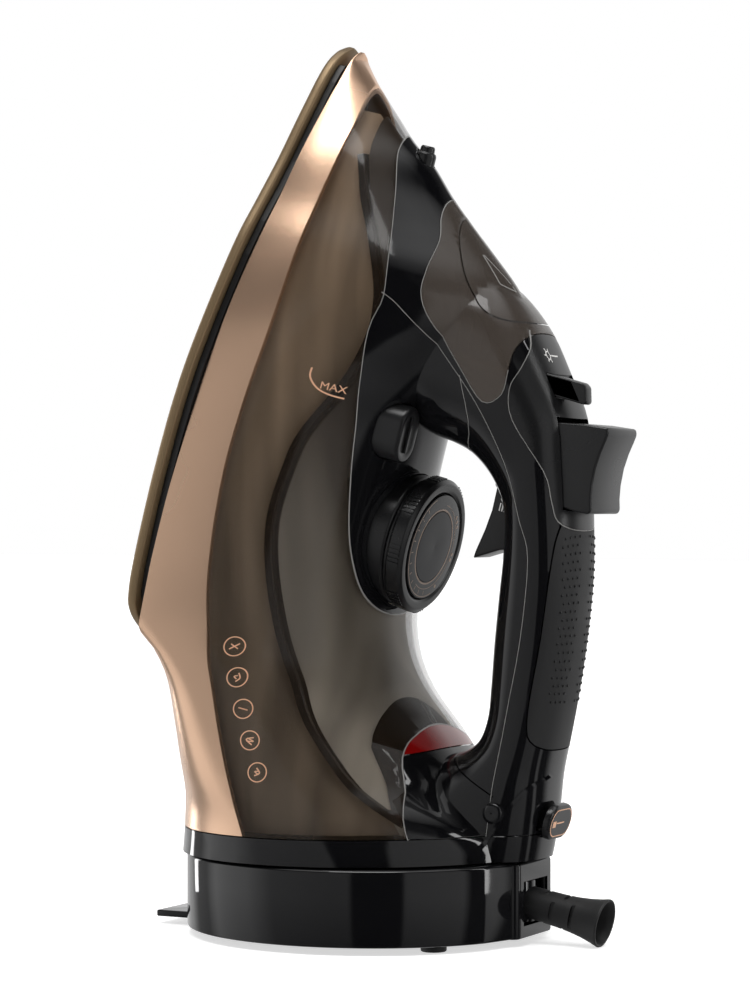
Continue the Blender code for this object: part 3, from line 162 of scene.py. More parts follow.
def ramp_of(tree, source, stops):
    """A grey curve through (place, brightness) pairs, as a colour ramp."""
    ramp = wired(tree, "ShaderNodeValToRGB", {"Fac": source})
    band = ramp.color_ramp.elements
    while len(band) > 1:
        band.remove(band[-1])
    band[0].position = stops[0][0]
    band[0].color = (stops[0][1],) * 3 + (1,)
    for place, value in stops[1:]:
        band.new(place).color = (value,) * 3 + (1,)
    return ramp.outputs["Color"]


def make_world():
    """A studio drawn by direction: soft boxes with dark gaps between them, and a bright ceiling.

    The camera itself sees a plain white backdrop.
    """
    world = bpy.data.worlds.new("studio")
    world.use_nodes = True
    tree = world.node_tree
    place = wired(tree, "ShaderNodeTexCoord").outputs["Generated"]
    sine, cosine = math.sin(VIEW_AZIMUTH), math.cos(VIEW_AZIMUTH)
    shares = {}
    for k, way in enumerate(((cosine, sine, 0), (sine, -cosine, 0))):
        dot = wired(tree, "ShaderNodeVectorMath", {0: place, 1: way}, operation="DOT_PRODUCT")
        shares[k] = dot.outputs["Value"]
    angle = wired(tree, "ShaderNodeMath", shares, operation="ARCTAN2").outputs[0]
    turn = wired(tree, "ShaderNodeMapRange", {"Value": angle, "From Min": -math.pi, "From Max": math.pi})
    split = wired(tree, "ShaderNodeSeparateXYZ", {"Vector": place})
    height = wired(tree, "ShaderNodeMapRange", {"Value": split.outputs["Z"], "From Min": -1}).outputs["Result"]
    boxes = ramp_of(tree, turn.outputs["Result"], STUDIO_AROUND)
    walls, ceiling = ramp_of(tree, height, STUDIO_WALLS), ramp_of(tree, height, STUDIO_CEILING)
    joined = wired(tree, "ShaderNodeMath", {0: boxes, 1: walls, 2: ceiling}, operation="MULTIPLY_ADD")
    seen = wired(tree, "ShaderNodeLightPath").outputs["Is Camera Ray"]
    pick = wired(tree, "ShaderNodeMix", {"Factor": seen, "A": joined.outputs[0], "B": 1.0})
    back = tree.nodes["Background"].inputs
    tree.links.new(pick.outputs["Result"], back["Strength"])
    back["Color"].default_value = (1, 1, 1, 1)
    bpy.context.scene.world = world


make_floor()
make_world()
make_panel("left_strip", (-1.0, 0.35, 0.35), (0, 0, 0.15), (0.12, 1.0), 2.2)
make_panel("right_strip", (0.95, 0.25, 0.4), (0, 0, 0.15), (0.10, 1.0), 1.8)
make_panel("top_panel", (0.1, -0.4, 1.3), (0, 0, 0.1), (0.7, 0.5), 5)
bpy.context.scene.view_settings.view_transform = "Standard"
print("studio: world, floor and 3 panels")

# %% [markdown]
# ## Finishes
# One shared node group gives every finish its detail: a fine grain for the bump, and slow clouds that
# vary the colour and the gloss. It hands out only colours, values and normals, so one Principled shader
# per finish stays in charge, and grain, clouds and bump are set for each.


# %% Shared node group
def new_group(name, inputs, outputs, kind="ShaderNodeTree"):
    """A node group, with the sockets of its inputs and its outputs."""
    group = bpy.data.node_groups.new(name, kind)
    for title, socket_kind, value in inputs:
        socket = group.interface.new_socket(title, in_out="INPUT", socket_type="NodeSocket" + socket_kind)
        if value is not None:
            socket.default_value = value
    for title, socket_kind in outputs:
        group.interface.new_socket(title, in_out="OUTPUT", socket_type="NodeSocket" + socket_kind)
    return group, group.nodes.new("NodeGroupInput").outputs, group.nodes.new("NodeGroupOutput").inputs


def make_surface_group():
    """Noise at two scales, turned into a colour, a roughness and a normal."""
    group, given, result = new_group("moulded_surface", [
        ("Colour", "Color", (0.02, 0.02, 0.02, 1)), ("Second Colour", "Color", (0.03, 0.03, 0.03, 1)),
        ("Roughness Low", "Float", 0.1), ("Roughness High", "Float", 0.2), ("Grain Scale", "Float", 900.0),
        ("Cloud Scale", "Float", 30.0), ("Bump", "Float", 0.05),
    ], [("Colour", "Color"), ("Roughness", "Float"), ("Normal", "Vector")])
    place = wired(group, "ShaderNodeTexCoord").outputs["Object"]
    grain = wired(group, "ShaderNodeTexNoise", {"Vector": place, "Scale": given["Grain Scale"]})
    cloud = wired(group, "ShaderNodeTexNoise", {"Vector": place, "Scale": given["Cloud Scale"], "Detail": 3})
    cloud = cloud.outputs["Fac"]
    mix = wired(group, "ShaderNodeMix", {
        "Factor": cloud, "A": given["Colour"], "B": given["Second Colour"]}, data_type="RGBA")
    rough = wired(group, "ShaderNodeMapRange", {
        "Value": cloud, "From Min": 0.3, "From Max": 0.7,
        "To Min": given["Roughness Low"], "To Max": given["Roughness High"]})
    bump = wired(group, "ShaderNodeBump", {
        "Distance": 0.0002, "Strength": given["Bump"], "Height": grain.outputs["Fac"]})
    group.links.new(mix.outputs["Result"], result["Colour"])
    group.links.new(rough.outputs["Result"], result["Roughness"])
    group.links.new(bump.outputs["Normal"], result["Normal"])
    return group


SURFACE = make_surface_group()
FINISHES = {}


def make_finish(name, colour, second, rough, grain=900, cloud=30, bump=0.05, **sockets):
    """A Principled finish fed by the shared surface group; other sockets are set on the shader itself."""
    paint = bpy.data.materials.new(name)
    paint.use_nodes = True
    tree = paint.node_tree
    shader = tree.nodes["Principled BSDF"].inputs
    surface = wired(tree, "ShaderNodeGroup", {
        "Colour": (*colour, 1), "Second Colour": (*second, 1), "Roughness Low": rough[0],
        "Roughness High": rough[1], "Grain Scale": grain, "Cloud Scale": cloud, "Bump": bump}, node_tree=SURFACE)
    for source, target in (("Colour", "Base Color"), ("Roughness", "Roughness"), ("Normal", "Normal")):
        tree.links.new(surface.outputs[source], shader[target])
    for socket, value in sockets.items():
        shader[socket.replace("_", " ")].default_value = value
    FINISHES[name] = paint
    return paint


# %% Every finish
make_finish("polished_black", (0.0030, 0.0030, 0.0036), (0.0050, 0.0050, 0.0056), (0.035, 0.07), bump=0.006)
make_finish("satin_black", (0.0055, 0.0055, 0.0060), (0.009, 0.009, 0.0095), (0.24, 0.34), grain=2500, bump=0.07)
make_finish("soft_black", (0.0080, 0.0080, 0.0085), (0.012, 0.012, 0.0125), (0.48, 0.60), grain=3200, bump=0.22)
make_finish("rose_metal", (0.86, 0.575, 0.40), (0.78, 0.515, 0.355), (0.22, 0.30), grain=5000, cloud=12, bump=0.06,
            Metallic=0.9)
make_finish("sole_ceramic", (0.26, 0.18, 0.10), (0.20, 0.14, 0.075), (0.34, 0.46), grain=4000, bump=0.12,
            Metallic=0.6)
make_finish("smoked_clear", (0.020, 0.0135, 0.009), (0.030, 0.021, 0.014), (0.04, 0.08), cloud=9, bump=0.006,
            Alpha=0.34)
make_finish("smoked_window", (0.050, 0.041, 0.035), (0.075, 0.062, 0.052), (0.06, 0.12), cloud=14, bump=0.005,
            Alpha=0.80)
make_finish("lamp_red", (0.11, 0.0010, 0.001), (0.17, 0.002, 0.002), (0.05, 0.09), cloud=60, bump=0.02,
            Coat_Weight=0.2, Emission_Color=(0.8, 0.01, 0.01, 1), Emission_Strength=0.03)
make_finish("cast_aluminium", (0.55, 0.55, 0.56), (0.45, 0.45, 0.46), (0.4, 0.55), grain=1500, bump=0.3, Metallic=1.0)
make_finish("bright_steel", (0.6, 0.6, 0.61), (0.52, 0.52, 0.54), (0.2, 0.3), grain=2500, bump=0.05, Metallic=1.0)
make_finish("brass", (0.70, 0.50, 0.22), (0.62, 0.44, 0.18), (0.22, 0.34), grain=2500, bump=0.05, Metallic=1.0)
make_finish("nylon", (0.66, 0.64, 0.60), (0.60, 0.58, 0.54), (0.4, 0.5), grain=1800, bump=0.1)
make_finish("board_green", (0.02, 0.14, 0.05), (0.03, 0.18, 0.07), (0.3, 0.5), grain=1200, bump=0.1)
make_finish("amber_clear", (0.62, 0.56, 0.36), (0.55, 0.49, 0.30), (0.12, 0.2), Alpha=0.75)
make_finish("print_rose", (0.78, 0.45, 0.28), (0.70, 0.40, 0.25), (0.35, 0.45), grain=3000, bump=0.02, Metallic=0.3)
make_finish("print_white", (0.75, 0.74, 0.72), (0.70, 0.69, 0.67), (0.45, 0.55), grain=3000, bump=0.02)
make_finish("print_bronze", (0.30, 0.21, 0.155), (0.25, 0.175, 0.13), (0.35, 0.45), grain=3000, bump=0.02)
make_finish("satin_grey", (0.030, 0.030, 0.032), (0.036, 0.036, 0.038), (0.45, 0.55), grain=2500, bump=0.08)
# Light grey for the seam hairlines and the door notch: a painted highlight, not the plastic's own colour.
make_finish("painted_seam_highlight", (0.30, 0.295, 0.285), (0.24, 0.235, 0.225), (0.22, 0.32), grain=2500, bump=0.02)

STREAK_LEAN = math.radians(-14)
STREAK_SCALE = (75, 20, 7)


def make_fade(name, low_colour, high_colour, low, high):
    """A matt finish whose colour changes with height over the table, in metres, under soft streaks."""
    tree = make_finish(name, low_colour, low_colour, (0.4, 0.5), grain=1500, bump=0.04).node_tree
    place = wired(tree, "ShaderNodeTexCoord").outputs["Object"]
    split = wired(tree, "ShaderNodeSeparateXYZ", {"Vector": place})
    share = wired(tree, "ShaderNodeMapRange", {
        "Value": split.outputs["Z"], "From Min": low, "From Max": high}, interpolation_type="SMOOTHSTEP")
    mix = wired(tree, "ShaderNodeMix", {
        "Factor": share.outputs["Result"], "A": (*low_colour, 1), "B": (*high_colour, 1)}, data_type="RGBA")
    drawn_out = wired(tree, "ShaderNodeMapping", {
        "Vector": place, "Rotation": (0, STREAK_LEAN, 0), "Scale": STREAK_SCALE})
    streak = wired(tree, "ShaderNodeTexNoise", {"Vector": drawn_out.outputs["Vector"], "Scale": 1.0, "Detail": 2})
    deep = wired(tree, "ShaderNodeMapRange", {
        "Value": streak.outputs["Fac"], "From Min": 0.35, "From Max": 0.65, "To Min": 0.45})
    shade = wired(tree, "ShaderNodeMix", {
        "Factor": 1.0, "A": mix.outputs["Result"], "B": deep.outputs["Result"]}, data_type="RGBA",
        blend_type="MULTIPLY")
    tree.links.new(shade.outputs["Result"], tree.nodes["Principled BSDF"].inputs["Base Color"])


# The dry lining runs from warm grey up to near black: the dark top is painted shade over the lining's grey.
make_fade("lining_dry", (0.80, 0.71, 0.58), (0.085, 0.062, 0.045), 0.085, 0.190)
make_fade("lining_wet", (0.46, 0.35, 0.25), (1.0, 0.70, 0.45), 0.08, 0.24)
print("finishes:", len(FINISHES))

# %% [markdown]
# ## Fitting a new piece to the frame
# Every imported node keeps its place. A fine piece that stands for one hides it, rides on the same body
# and names the same finish. Nodes that stay on show, such as the parts inside, get their finish here.

# %% Fitting helpers
SLOT_OF = {part["node"]: part["material_slot"] for part in frame["record"]["subparts"]}
BODY_OF = {node: body for body, names in frame["record"]["behaviour"]["bodies"].items() for node in names}


def fit(piece, node, finish=None, stands=True, angle=32):
    """Gives a fine piece its finish and its body, and hides the node it stands for."""
    mesh = piece.data
    mesh.materials.clear()
    mesh.materials.append(FINISHES[finish or SLOT_OF[node]])
    mesh.shade_smooth()
    mesh.set_sharp_from_angle(angle=math.radians(angle))
    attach(piece, BODY_OF[node])
    if stands:
        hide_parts(node)
    return piece


for name, node in nodes.items():
    node.data.materials.clear()
    node.data.materials.append(FINISHES[SLOT_OF[name]])

# %% [markdown]
# ## The casing
# The real casing is a few mouldings that meet in hair-thin seams, and together they read as one smooth
# form. So the whole form is drawn first, as rings along the iron and rings along the handle, hollowed to
# its wall, and only then cut along its seams. That keeps the reflections flowing from piece to piece.

# %% Sizes of the casing
# Overall sizes of the iron. The outlines below are drawn at the standard size and stretched to these.
IRON_LENGTH = 0.3095
IRON_WIDTH = 0.1272
IRON_HEIGHT = 0.14
DRAWN_LENGTH = 0.3095
DRAWN_WIDTH = 0.1272
DRAWN_HEIGHT = 0.14
LEAN = math.radians(15)
IRON_FOOT_X = -0.0968
IRON_FOOT_Z = -0.0031
WALL = 0.002
SEAM = 0.00042
GAP = 0.00035
SOLE_THICKNESS = 0.0034
SKIRT_BOTTOM = 0.0063
HEEL_Z = 0.0273
HEEL_RING_HEIGHT = 0.0086

# Half width of the soleplate along its length, and of the body just above it
SOLE_HALF_WIDTH = table(
    2, 92, 0, 93, 13, 97.5, 26, 104.7, 40.6, 109.1, 49.5, 114.5, 57.5, 119, 60.9, 129, 62.9, 142.6, 63.5, 154.3,
    63.6, 167.6, 63.1, 180, 62.2, 191, 60.7, 201, 58.6, 211, 55.7, 226, 50.7, 241.6, 44.6, 254.5, 37.4, 268, 30,
    282.7, 23.1, 290, 19.5, 297, 15.9, 303, 11.7, 307, 6.5, 309.5, 0,
)
BODY_HALF_WIDTH = table(
    2, 36, 57, 60, 58, 80, 58, 94, 58.8, 105, 59.8, 120.4, 61, 135.6, 61.8, 152.3, 61.4, 172.3, 59.2, 191.3, 56.2,
    212.4, 51.5, 227.6, 46.5, 243.8, 39.6, 257, 33, 271.7, 26.3, 284.5, 19.3, 297.9, 11.3, 304.5, 6.8, 307.2, 4,
    309, 0.3,
)
# Height at which the body is widest, its lowest and its highest line, along its length
WIDEST_HEIGHT = table(2, 36, 74, 56, 70, 70, 53, 84, 39, 98, 28, 105, 21, 112, 12, 118, 6.5, 309, 6.5)
UNDERSIDE = table(2, 30, 18.5, 41, 17.5, 60, 14.5, 80, 10.5, 94, 7, 104, 3, 112, -3, 309, -4)
CREST = table(
    2, 36, 134, 60, 134, 72.4, 131, 77, 124, 82, 113.3, 90, 104, 96, 96.5, 100, 90, 105, 83, 111, 77.5, 118, 73,
    125, 69.5, 134, 67, 150, 65, 172, 64, 190, 64.5, 205, 70, 222, 80, 231, 86, 238, 87.5, 245, 82, 253.7, 71, 260,
    62.5, 268.5, 51.5, 278, 41, 283.5, 32.6, 289.7, 25.4, 298.4, 15.2, 307.5, 5, 309.5, 1.5,
)
# Roundness of the body's section: the exponents of its lower and upper half, along its length
LOWER_ROUNDNESS = [(0.036, 2.1), (0.05, 2.15), (0.084, 2.3), (0.094, 2.3), (0.105, 2.6), (0.112, 4), (0.118, 9),
                   (0.309, 9)]
UPPER_ROUNDNESS = [(0.036, 2), (0.11, 2), (0.14, 2.1), (0.19, 2.1), (0.215, 1.7), (0.25, 1.5), (0.309, 1.5)]
BODY_START, BODY_END = 0.024, 0.3086
UPPER_STEPS = 44
LOWER_STEPS = 14

# The handle loop: a point on its inner side, the one opposite it on its outer side, and its half width
HANDLE_LOOP = table(
    5, 196, 56, 246, 50, 22, 192.5, 67, 247, 66, 22.5, 191.5, 76, 245.5, 79, 22.5, 189.5, 84, 236.5, 92.5, 22,
    184.5, 92, 224, 103.5, 21, 178, 97.8, 211.5, 113, 20, 171, 101, 197, 118.5, 19.5, 160, 103.2, 181, 123.8,
    19, 148, 104.6, 161, 129.3, 18.5, 133, 106.8, 140, 132.7, 18, 119, 109.5, 122, 134.4, 18, 109.5, 111, 108,
    135.2, 18, 101.5, 110, 96, 135.8, 18.5, 96, 105.5, 85, 137.5, 19.5, 92, 99, 72, 139, 20.5, 82, 90, 58,
    139.5, 21, 66, 84, 44, 139.5, 21, 40, 80, 20, 139.5, 21,
)
HANDLE_ROUNDNESS = 2.5
HANDLE_SIDES = 72

# Seams of the body, in its side view
SKIRT_SEAM = table(
    2, 36, 73, 56, 59.7, 70, 51.4, 84, 43.8, 99, 37.1, 111, 31.6, 126, 27.5, 144, 24.8, 158, 23.4, 171, 22.3, 185,
    22, 198, 22, 211, 22.2, 226, 21.7, 245, 20, 260, 19.2, 274, 18.8, 287, 17.8, 298, 15.2, 306, 12,
)
TANK_SEAM = table(
    2, 296, 27, 285, 30.5, 275, 35.5, 264, 40.8, 248, 47.6, 234, 52, 222, 50.8, 200, 52.4, 177, 54.6, 160, 57, 148,
    59.6, 138, 63, 131.5, 67, 129, 71, 128, 78,
)
SHOULDER_SEAM = table(
    2, 235, 51, 232, 57, 221, 71, 208, 86.4, 192, 100, 175, 110, 163.6, 116, 138, 119.8, 112, 121.4, 92, 123, 78,
    125, 58, 127, 30, 128,
)
PILLAR_SEAM = [(0.18, 0.076), (0.197, 0.0855), (0.2149, 0.0792)]
REAR_SEAM = table(2, 108, 84, 99.5, 90.5, 91.3, 94, 80, 101.6, 70, 108.3, 58, 116, 40, 127)
LAMP_SEAM = [(0.0918, 0.093), (0.0935, 0.0968), (0.098, 0.1035)]
FOOT_SEAM = [(0.099, 0.099), (0.093, 0.106), (0.087, 0.1245)]
DOOR_SEAM = table(
    2, 274, 58, 269.5, 52, 263, 53.6, 254.9, 58.1, 245, 60, 236, 62.4, 227.4, 68.4, 217, 79, 208.6, 88.8, 212.5,
    94.6, 220.5, 94.4, 228.5, 94, 236, 97, 240, 104,
)
PANEL_SEAM = table(
    2, 234, 93.6, 228.5, 97, 222, 97.6, 214.5, 96.6, 205.3, 100.2, 192.3, 113.6, 183, 118.4, 177.5, 121.4, 175, 127,
    174, 134,
)
GRIP_SEAM = table(2, 176.9, 122.3, 172, 122.4, 166, 123, 140, 126, 114, 128.2, 106, 132, 104, 142)
FILL_SEAM = table(
    2, 240, 104, 236, 92, 235.6, 84.5, 237.5, 79, 240.5, 75.2, 245, 70.8, 250, 66.8, 257, 61.6, 262, 58.6, 266.4,
    56.6, 273, 58,
)
print("casing:", len(HANDLE_LOOP), "handle rings drawn")

# %% Curves through the tables
def along(table, x):
    """The table's value at x, on a smooth curve that never overshoots its points."""
    points = sorted(table)
    xs = [p[0] for p in points]
    ys = [p[1] for p in points]
    if x <= xs[0]:
        return ys[0]
    if x >= xs[-1]:
        return ys[-1]
    rises = [(ys[i + 1] - ys[i]) / (xs[i + 1] - xs[i]) for i in range(len(xs) - 1)]
    slopes = [rises[0]]
    for before, after in zip(rises, rises[1:]):
        slopes.append(0 if before * after <= 0 else 2 * before * after / (before + after))
    slopes.append(rises[-1])
    i = max(k for k in range(len(rises)) if xs[k] <= x)
    step = xs[i + 1] - xs[i]
    s = (x - xs[i]) / step
    return (
        ys[i] * (2 * s**3 - 3 * s**2 + 1)
        + step * slopes[i] * (s**3 - 2 * s**2 + s)
        + ys[i + 1] * (3 * s**2 - 2 * s**3)
        + step * slopes[i + 1] * (s**3 - s**2)
    )


def stretch(u, v, h):
    """A drawn point at the iron's real size."""
    return Vector((
        u * IRON_LENGTH / DRAWN_LENGTH,
        v * IRON_WIDTH / DRAWN_WIDTH,
        h * IRON_HEIGHT / DRAWN_HEIGHT,
    ))


def body_section(u, inset):
    """One closed ring around the body at drawn length u, from the underside up one side and down the other."""
    wide = max(along(BODY_HALF_WIDTH, u) - inset, 0.0002)
    middle = along(WIDEST_HEIGHT, u)
    bottom = along(UNDERSIDE, u) + inset
    top = max(along(CREST, u) - inset, middle + 0.0004)
    low, high = 2 / along(LOWER_ROUNDNESS, u), 2 / along(UPPER_ROUNDNESS, u)
    side = [(0, bottom)]
    for k in range(LOWER_STEPS - 1, 0, -1):
        turn = math.pi / 2 * k / LOWER_STEPS
        side.append((wide * math.cos(turn) ** low, middle - (middle - bottom) * math.sin(turn) ** low))
    for k in range(UPPER_STEPS):
        turn = math.pi / 2 * k / UPPER_STEPS
        side.append((wide * math.cos(turn) ** high, middle + (top - middle) * math.sin(turn)))
    side.append((0, top))
    ring = side + [(-v, h) for v, h in side[-2:0:-1]]
    return [stretch(u, v, h) for v, h in ring]


def handle_section(inner, outer, half_width, inset):
    """One closed ring around the handle between a point of its inner side and the one opposite it."""
    middle = Vector(((inner[0] + outer[0]) / 2, 0, (inner[1] + outer[1]) / 2))
    reach = Vector(((outer[0] - inner[0]) / 2, 0, (outer[1] - inner[1]) / 2))
    reach *= 1 - inset / reach.length
    ring = []
    for k in range(HANDLE_SIDES):
        turn = 2 * math.pi * k / HANDLE_SIDES
        lift = math.copysign(abs(math.cos(turn)) ** (2 / HANDLE_ROUNDNESS), math.cos(turn))
        side = math.copysign(abs(math.sin(turn)) ** (2 / HANDLE_ROUNDNESS), math.sin(turn))
        point = middle + reach * lift
        ring.append(stretch(point.x, (half_width - inset) * side, point.z))
    return ring


def shaped(name, shape, mesh=None):
    """A mesh object out of a bmesh, which is freed."""
    mesh = mesh or bpy.data.meshes.new(name)
    shape.to_mesh(mesh)
    shape.free()
    return add_object(name, mesh)


def new_object(name, points, faces):
    """A mesh object whose faces point out."""
    mesh = bpy.data.meshes.new(name)
    mesh.from_pydata([tuple(p) for p in points], [], faces)
    shape = bmesh.new()
    shape.from_mesh(mesh)
    bmesh.ops.remove_doubles(shape, verts=shape.verts, dist=1e-7)
    bmesh.ops.recalc_face_normals(shape, faces=shape.faces)
    if shape.calc_volume(signed=True) < 0:
        bmesh.ops.reverse_faces(shape, faces=shape.faces)
    return shaped(name, shape, mesh)


def loft(name, rings, closed=False):
    """Rings of equal point counts joined in order, capped at both ends unless the last joins the first."""
    size = len(rings[0])
    points = [p for ring in rings for p in ring]
    faces = []
    pairs = len(rings) if closed else len(rings) - 1
    for r in range(pairs):
        here, there = r * size, (r + 1) % len(rings) * size
        for k in range(size):
            after = (k + 1) % size
            faces.append((here + k, here + after, there + after, there + k))
    if not closed:
        faces.append(tuple(range(size)))
        faces.append(tuple(range(len(points) - size, len(points))))
    return new_object(name, points, faces)


def slab(name, outline, low, high):
    """A side-view outline of (u, h) points, extruded across the iron from low to high."""
    return loft(name, [[stretch(u, v, h) for u, h in outline] for v in (low, high)])


def frame_at(place, axis):
    """The matrix that carries Z onto axis, with its origin at place."""
    return Matrix.Translation(place) @ Vector(axis).to_track_quat("Z", "Y").to_matrix().to_4x4()


def turns_of(sides):
    return [2 * math.pi * k / sides for k in range(sides)]


def turned(name, profile, place, axis=(0, 0, 1), sides=24, hollow=False):
    """A turned piece: its profile is (radius, height) pairs, in order round the section when it is hollow."""
    carry = frame_at(place, axis)
    rings = [[carry @ Vector((radius * math.cos(t), radius * math.sin(t), height)) for t in turns_of(sides)]
             for radius, height in profile]
    return loft(name, rings, closed=hollow)


def rod(name, radius, place, length, axis=(0, 0, 1), sides=16):
    return turned(name, [(radius, 0), (radius, length)], place, axis, sides)


def stadium(centre, radius, reach, height, sides, along_y=False):
    """Two half circles pushed apart by reach each way: (point, outward direction) pairs."""
    ring = []
    for k in range(sides):
        turn = 2 * math.pi * (k + 0.5) / sides
        out = Vector((math.cos(turn), math.sin(turn), 0))
        shift = (0, math.copysign(reach, out.y), 0) if along_y else (math.copysign(reach, out.x), 0, 0)
        ring.append((centre + out * radius + Vector(shift) + Vector((0, 0, height)), out))
    return ring


def pill(name, centre, radius, reach, levels, sides, along_y=False):
    """A stadium-shaped plug through (inset, height) levels."""
    return loft(name, [[point for point, _ in stadium(centre, radius - inset, reach, height, sides, along_y)]
                       for inset, height in levels])


def box(name, low, high):
    corners = [(low[0], low[1]), (high[0], low[1]), (high[0], high[1]), (low[0], high[1])]
    return loft(name, [[(x, y, z) for x, y in corners] for z in (low[2], high[2])])


def heading(points, i):
    """The direction of a path at its point i."""
    return (points[min(i + 1, len(points) - 1)] - points[max(i - 1, 0)]).normalized()


def beside(points, width):
    """The two lines that run beside a flat path, half the width away from it."""
    left, right = [], []
    for i, point in enumerate(points):
        ahead = heading(points, i)
        off = Vector((-ahead.y, ahead.x)) * width / 2
        left.append(tuple(point + off))
        right.append(tuple(point - off))
    return left, right


def tube(name, points, radius, sides=8):
    """A round bar along a path."""
    rings = []
    across = Vector((0, 1, 0))
    for i, point in enumerate(points):
        ahead = heading(points, i)
        side = (across - ahead * across.dot(ahead)).normalized()
        up = ahead.cross(side)
        rings.append([point + side * radius * math.cos(t) + up * radius * math.sin(t) for t in turns_of(sides)])
        across = side
    return loft(name, rings)


def smooth_path(points, steps):
    """A Catmull-Rom curve through the points."""
    out = []
    for k in range(len(points) - 1):
        p0, p1 = points[max(k - 1, 0)], points[k]
        p2, p3 = points[k + 1], points[min(k + 2, len(points) - 1)]
        for j in range(steps):
            s = j / steps
            out.append((p1 * 2 + (p2 - p0) * s + (p0 * 2 - p1 * 5 + p2 * 4 - p3) * s**2
                        + (p1 * 3 - p0 - p2 * 3 + p3) * s**3) / 2)
    return out + [points[-1]]


def smooth_line(line, steps=4):
    """A drawn line with extra points on a smooth curve, where it has a corner at each."""
    return [tuple(p) for p in smooth_path([Vector(p) for p in line], steps)]


def bake(piece):
    """Applies a piece's modifiers to its mesh."""
    graph = bpy.context.evaluated_depsgraph_get()
    result = bpy.data.meshes.new_from_object(piece.evaluated_get(graph))
    piece.modifiers.clear()
    piece.data = result
    return piece


def combine(operation, piece, *tools):
    """Applies a Boolean of each tool to the piece, and removes the tools.

    The exact solver loses walls where a thin seam crosses the thin casing, so the manifold one is used.
    """
    for tool in tools:
        change = piece.modifiers.new("combine", "BOOLEAN")
        change.operation, change.solver, change.object = operation, "MANIFOLD", tool
        bake(piece)
        bpy.data.objects.remove(tool)
    return piece


cut, join, keep = (partial(combine, operation) for operation in ("DIFFERENCE", "UNION", "INTERSECT"))


def seam_cutter(line, width=SEAM):
    """A thin wall that stands on a side-view line and reaches right across the iron."""
    left, right = beside([Vector(p) for p in line], width)
    outline = left + right[::-1]
    points = [stretch(u, v, h) for v in (-IRON_WIDTH, IRON_WIDTH) for u, h in outline]
    count, size = len(line), len(outline)
    faces = [(k, k + 1, size - 2 - k, size - 1 - k) for k in range(count - 1)]
    ends = [tuple(size + i for i in face) for face in faces]
    sides = [(k, (k + 1) % size, size + (k + 1) % size, size + k) for k in range(size)]
    return new_object("seam", points, faces + ends + sides)


IRON_TURN = Matrix((
    (math.sin(LEAN), 0, math.cos(LEAN)),
    (0, -1, 0),
    (math.cos(LEAN), 0, -math.sin(LEAN)),
)).to_4x4()
IRON_PLACE = Matrix.Translation((IRON_FOOT_X, 0, IRON_FOOT_Z)) @ IRON_TURN


def level_box(low_z, high_z):
    """A block between two levels of the standing position, in the iron's own axes."""
    block = box("level", (-1, -1, low_z), (1, 1, high_z))
    block.data.transform(IRON_PLACE.inverted())
    return block


def stand(piece):
    """Carries a mesh from the iron's own axes to where the iron stands."""
    piece.data.transform(IRON_PLACE)
    return piece


# %% [markdown]
# ### Rings
# A ring round the body is a rounded section whose width, height and roundness vary along the iron. A ring
# round the handle joins a point of its inner line to the one opposite. Fine spacing makes both smooth.


# %% The casing, hollow and whole
RING_COUNT = 130
HANDLE_STEPS = 5


def fine_body(name, inset):
    rings = []
    for k in range(RING_COUNT + 1):
        u = BODY_START + (BODY_END - BODY_START) * math.sin(math.pi / 2 * k / RING_COUNT)
        if inset and along(BODY_HALF_WIDTH, u) < 2.2 * inset:
            break
        rings.append(body_section(u if u > BODY_START or not inset else u + 0.0005, inset))
    return loft(name, rings)


def handle_curve(steps):
    """Smooth rows of the handle's loop, and its half width at each."""
    rows = smooth_path([Vector(row[:4]) for row in HANDLE_LOOP], steps)
    widths = smooth_path([Vector((row[4], 0)) for row in HANDLE_LOOP], steps)
    return [(row, wide[0]) for row, wide in zip(rows, widths)]


def fine_form(inset, name="form"):
    """The whole outer form, body and handle in one, set in by the inset."""
    rings = [handle_section(row[:2], row[2:], wide, inset) for row, wide in handle_curve(HANDLE_STEPS)]
    return join(fine_body(name, inset), loft("handle", rings))


def fine_shell():
    outer = cut(fine_form(0, "casing"), fine_form(WALL), level_box(-1, HEEL_Z + GAP))
    return cut(outer, box("sole_room", (-1, -1, -1), (1, 1, SKIRT_BOTTOM)))


# %% Cut along the seams
SEAMS = (SKIRT_SEAM, TANK_SEAM, SHOULDER_SEAM, PILLAR_SEAM, REAR_SEAM, LAMP_SEAM, FOOT_SEAM, DOOR_SEAM, FILL_SEAM,
         PANEL_SEAM, GRIP_SEAM)
SPOTS = {
    "rose_skirt": (0.17, 0.0588, 0.014),
    "water_tank": (0.17, 0.052, 0.038),
    "side_housing": (0.205, 0.033, 0.057),
    "upper_housing": (0.262, 0.02, 0.045),
    "front_window": (0.225, 0.018, 0.082),
    "fill_door": (0.25, 0.006, 0.075),
    "control_panel": (0.222, 0, 0.105),
    "handle_frame": (0.14, 0, 0.106),
    "grip_pad": (0.14, 0, 0.1327),
    "lamp_lens": (0.097, 0, 0.095),
    "rear_panel": (0.08, 0.025, 0.108),
}
THUMB_HALF = 0.0125
DIAL_U = 0.1561
CLEAN_PLACE = (0.1916, 0.022, 0.0666)
CLEAN_SIZE = (0.0187, 0.0127)
NOZZLE_START = (0.2626, 0, 0.0384)
RUN = 0.0004
RING_TOP = HEEL_Z + HEEL_RING_HEIGHT


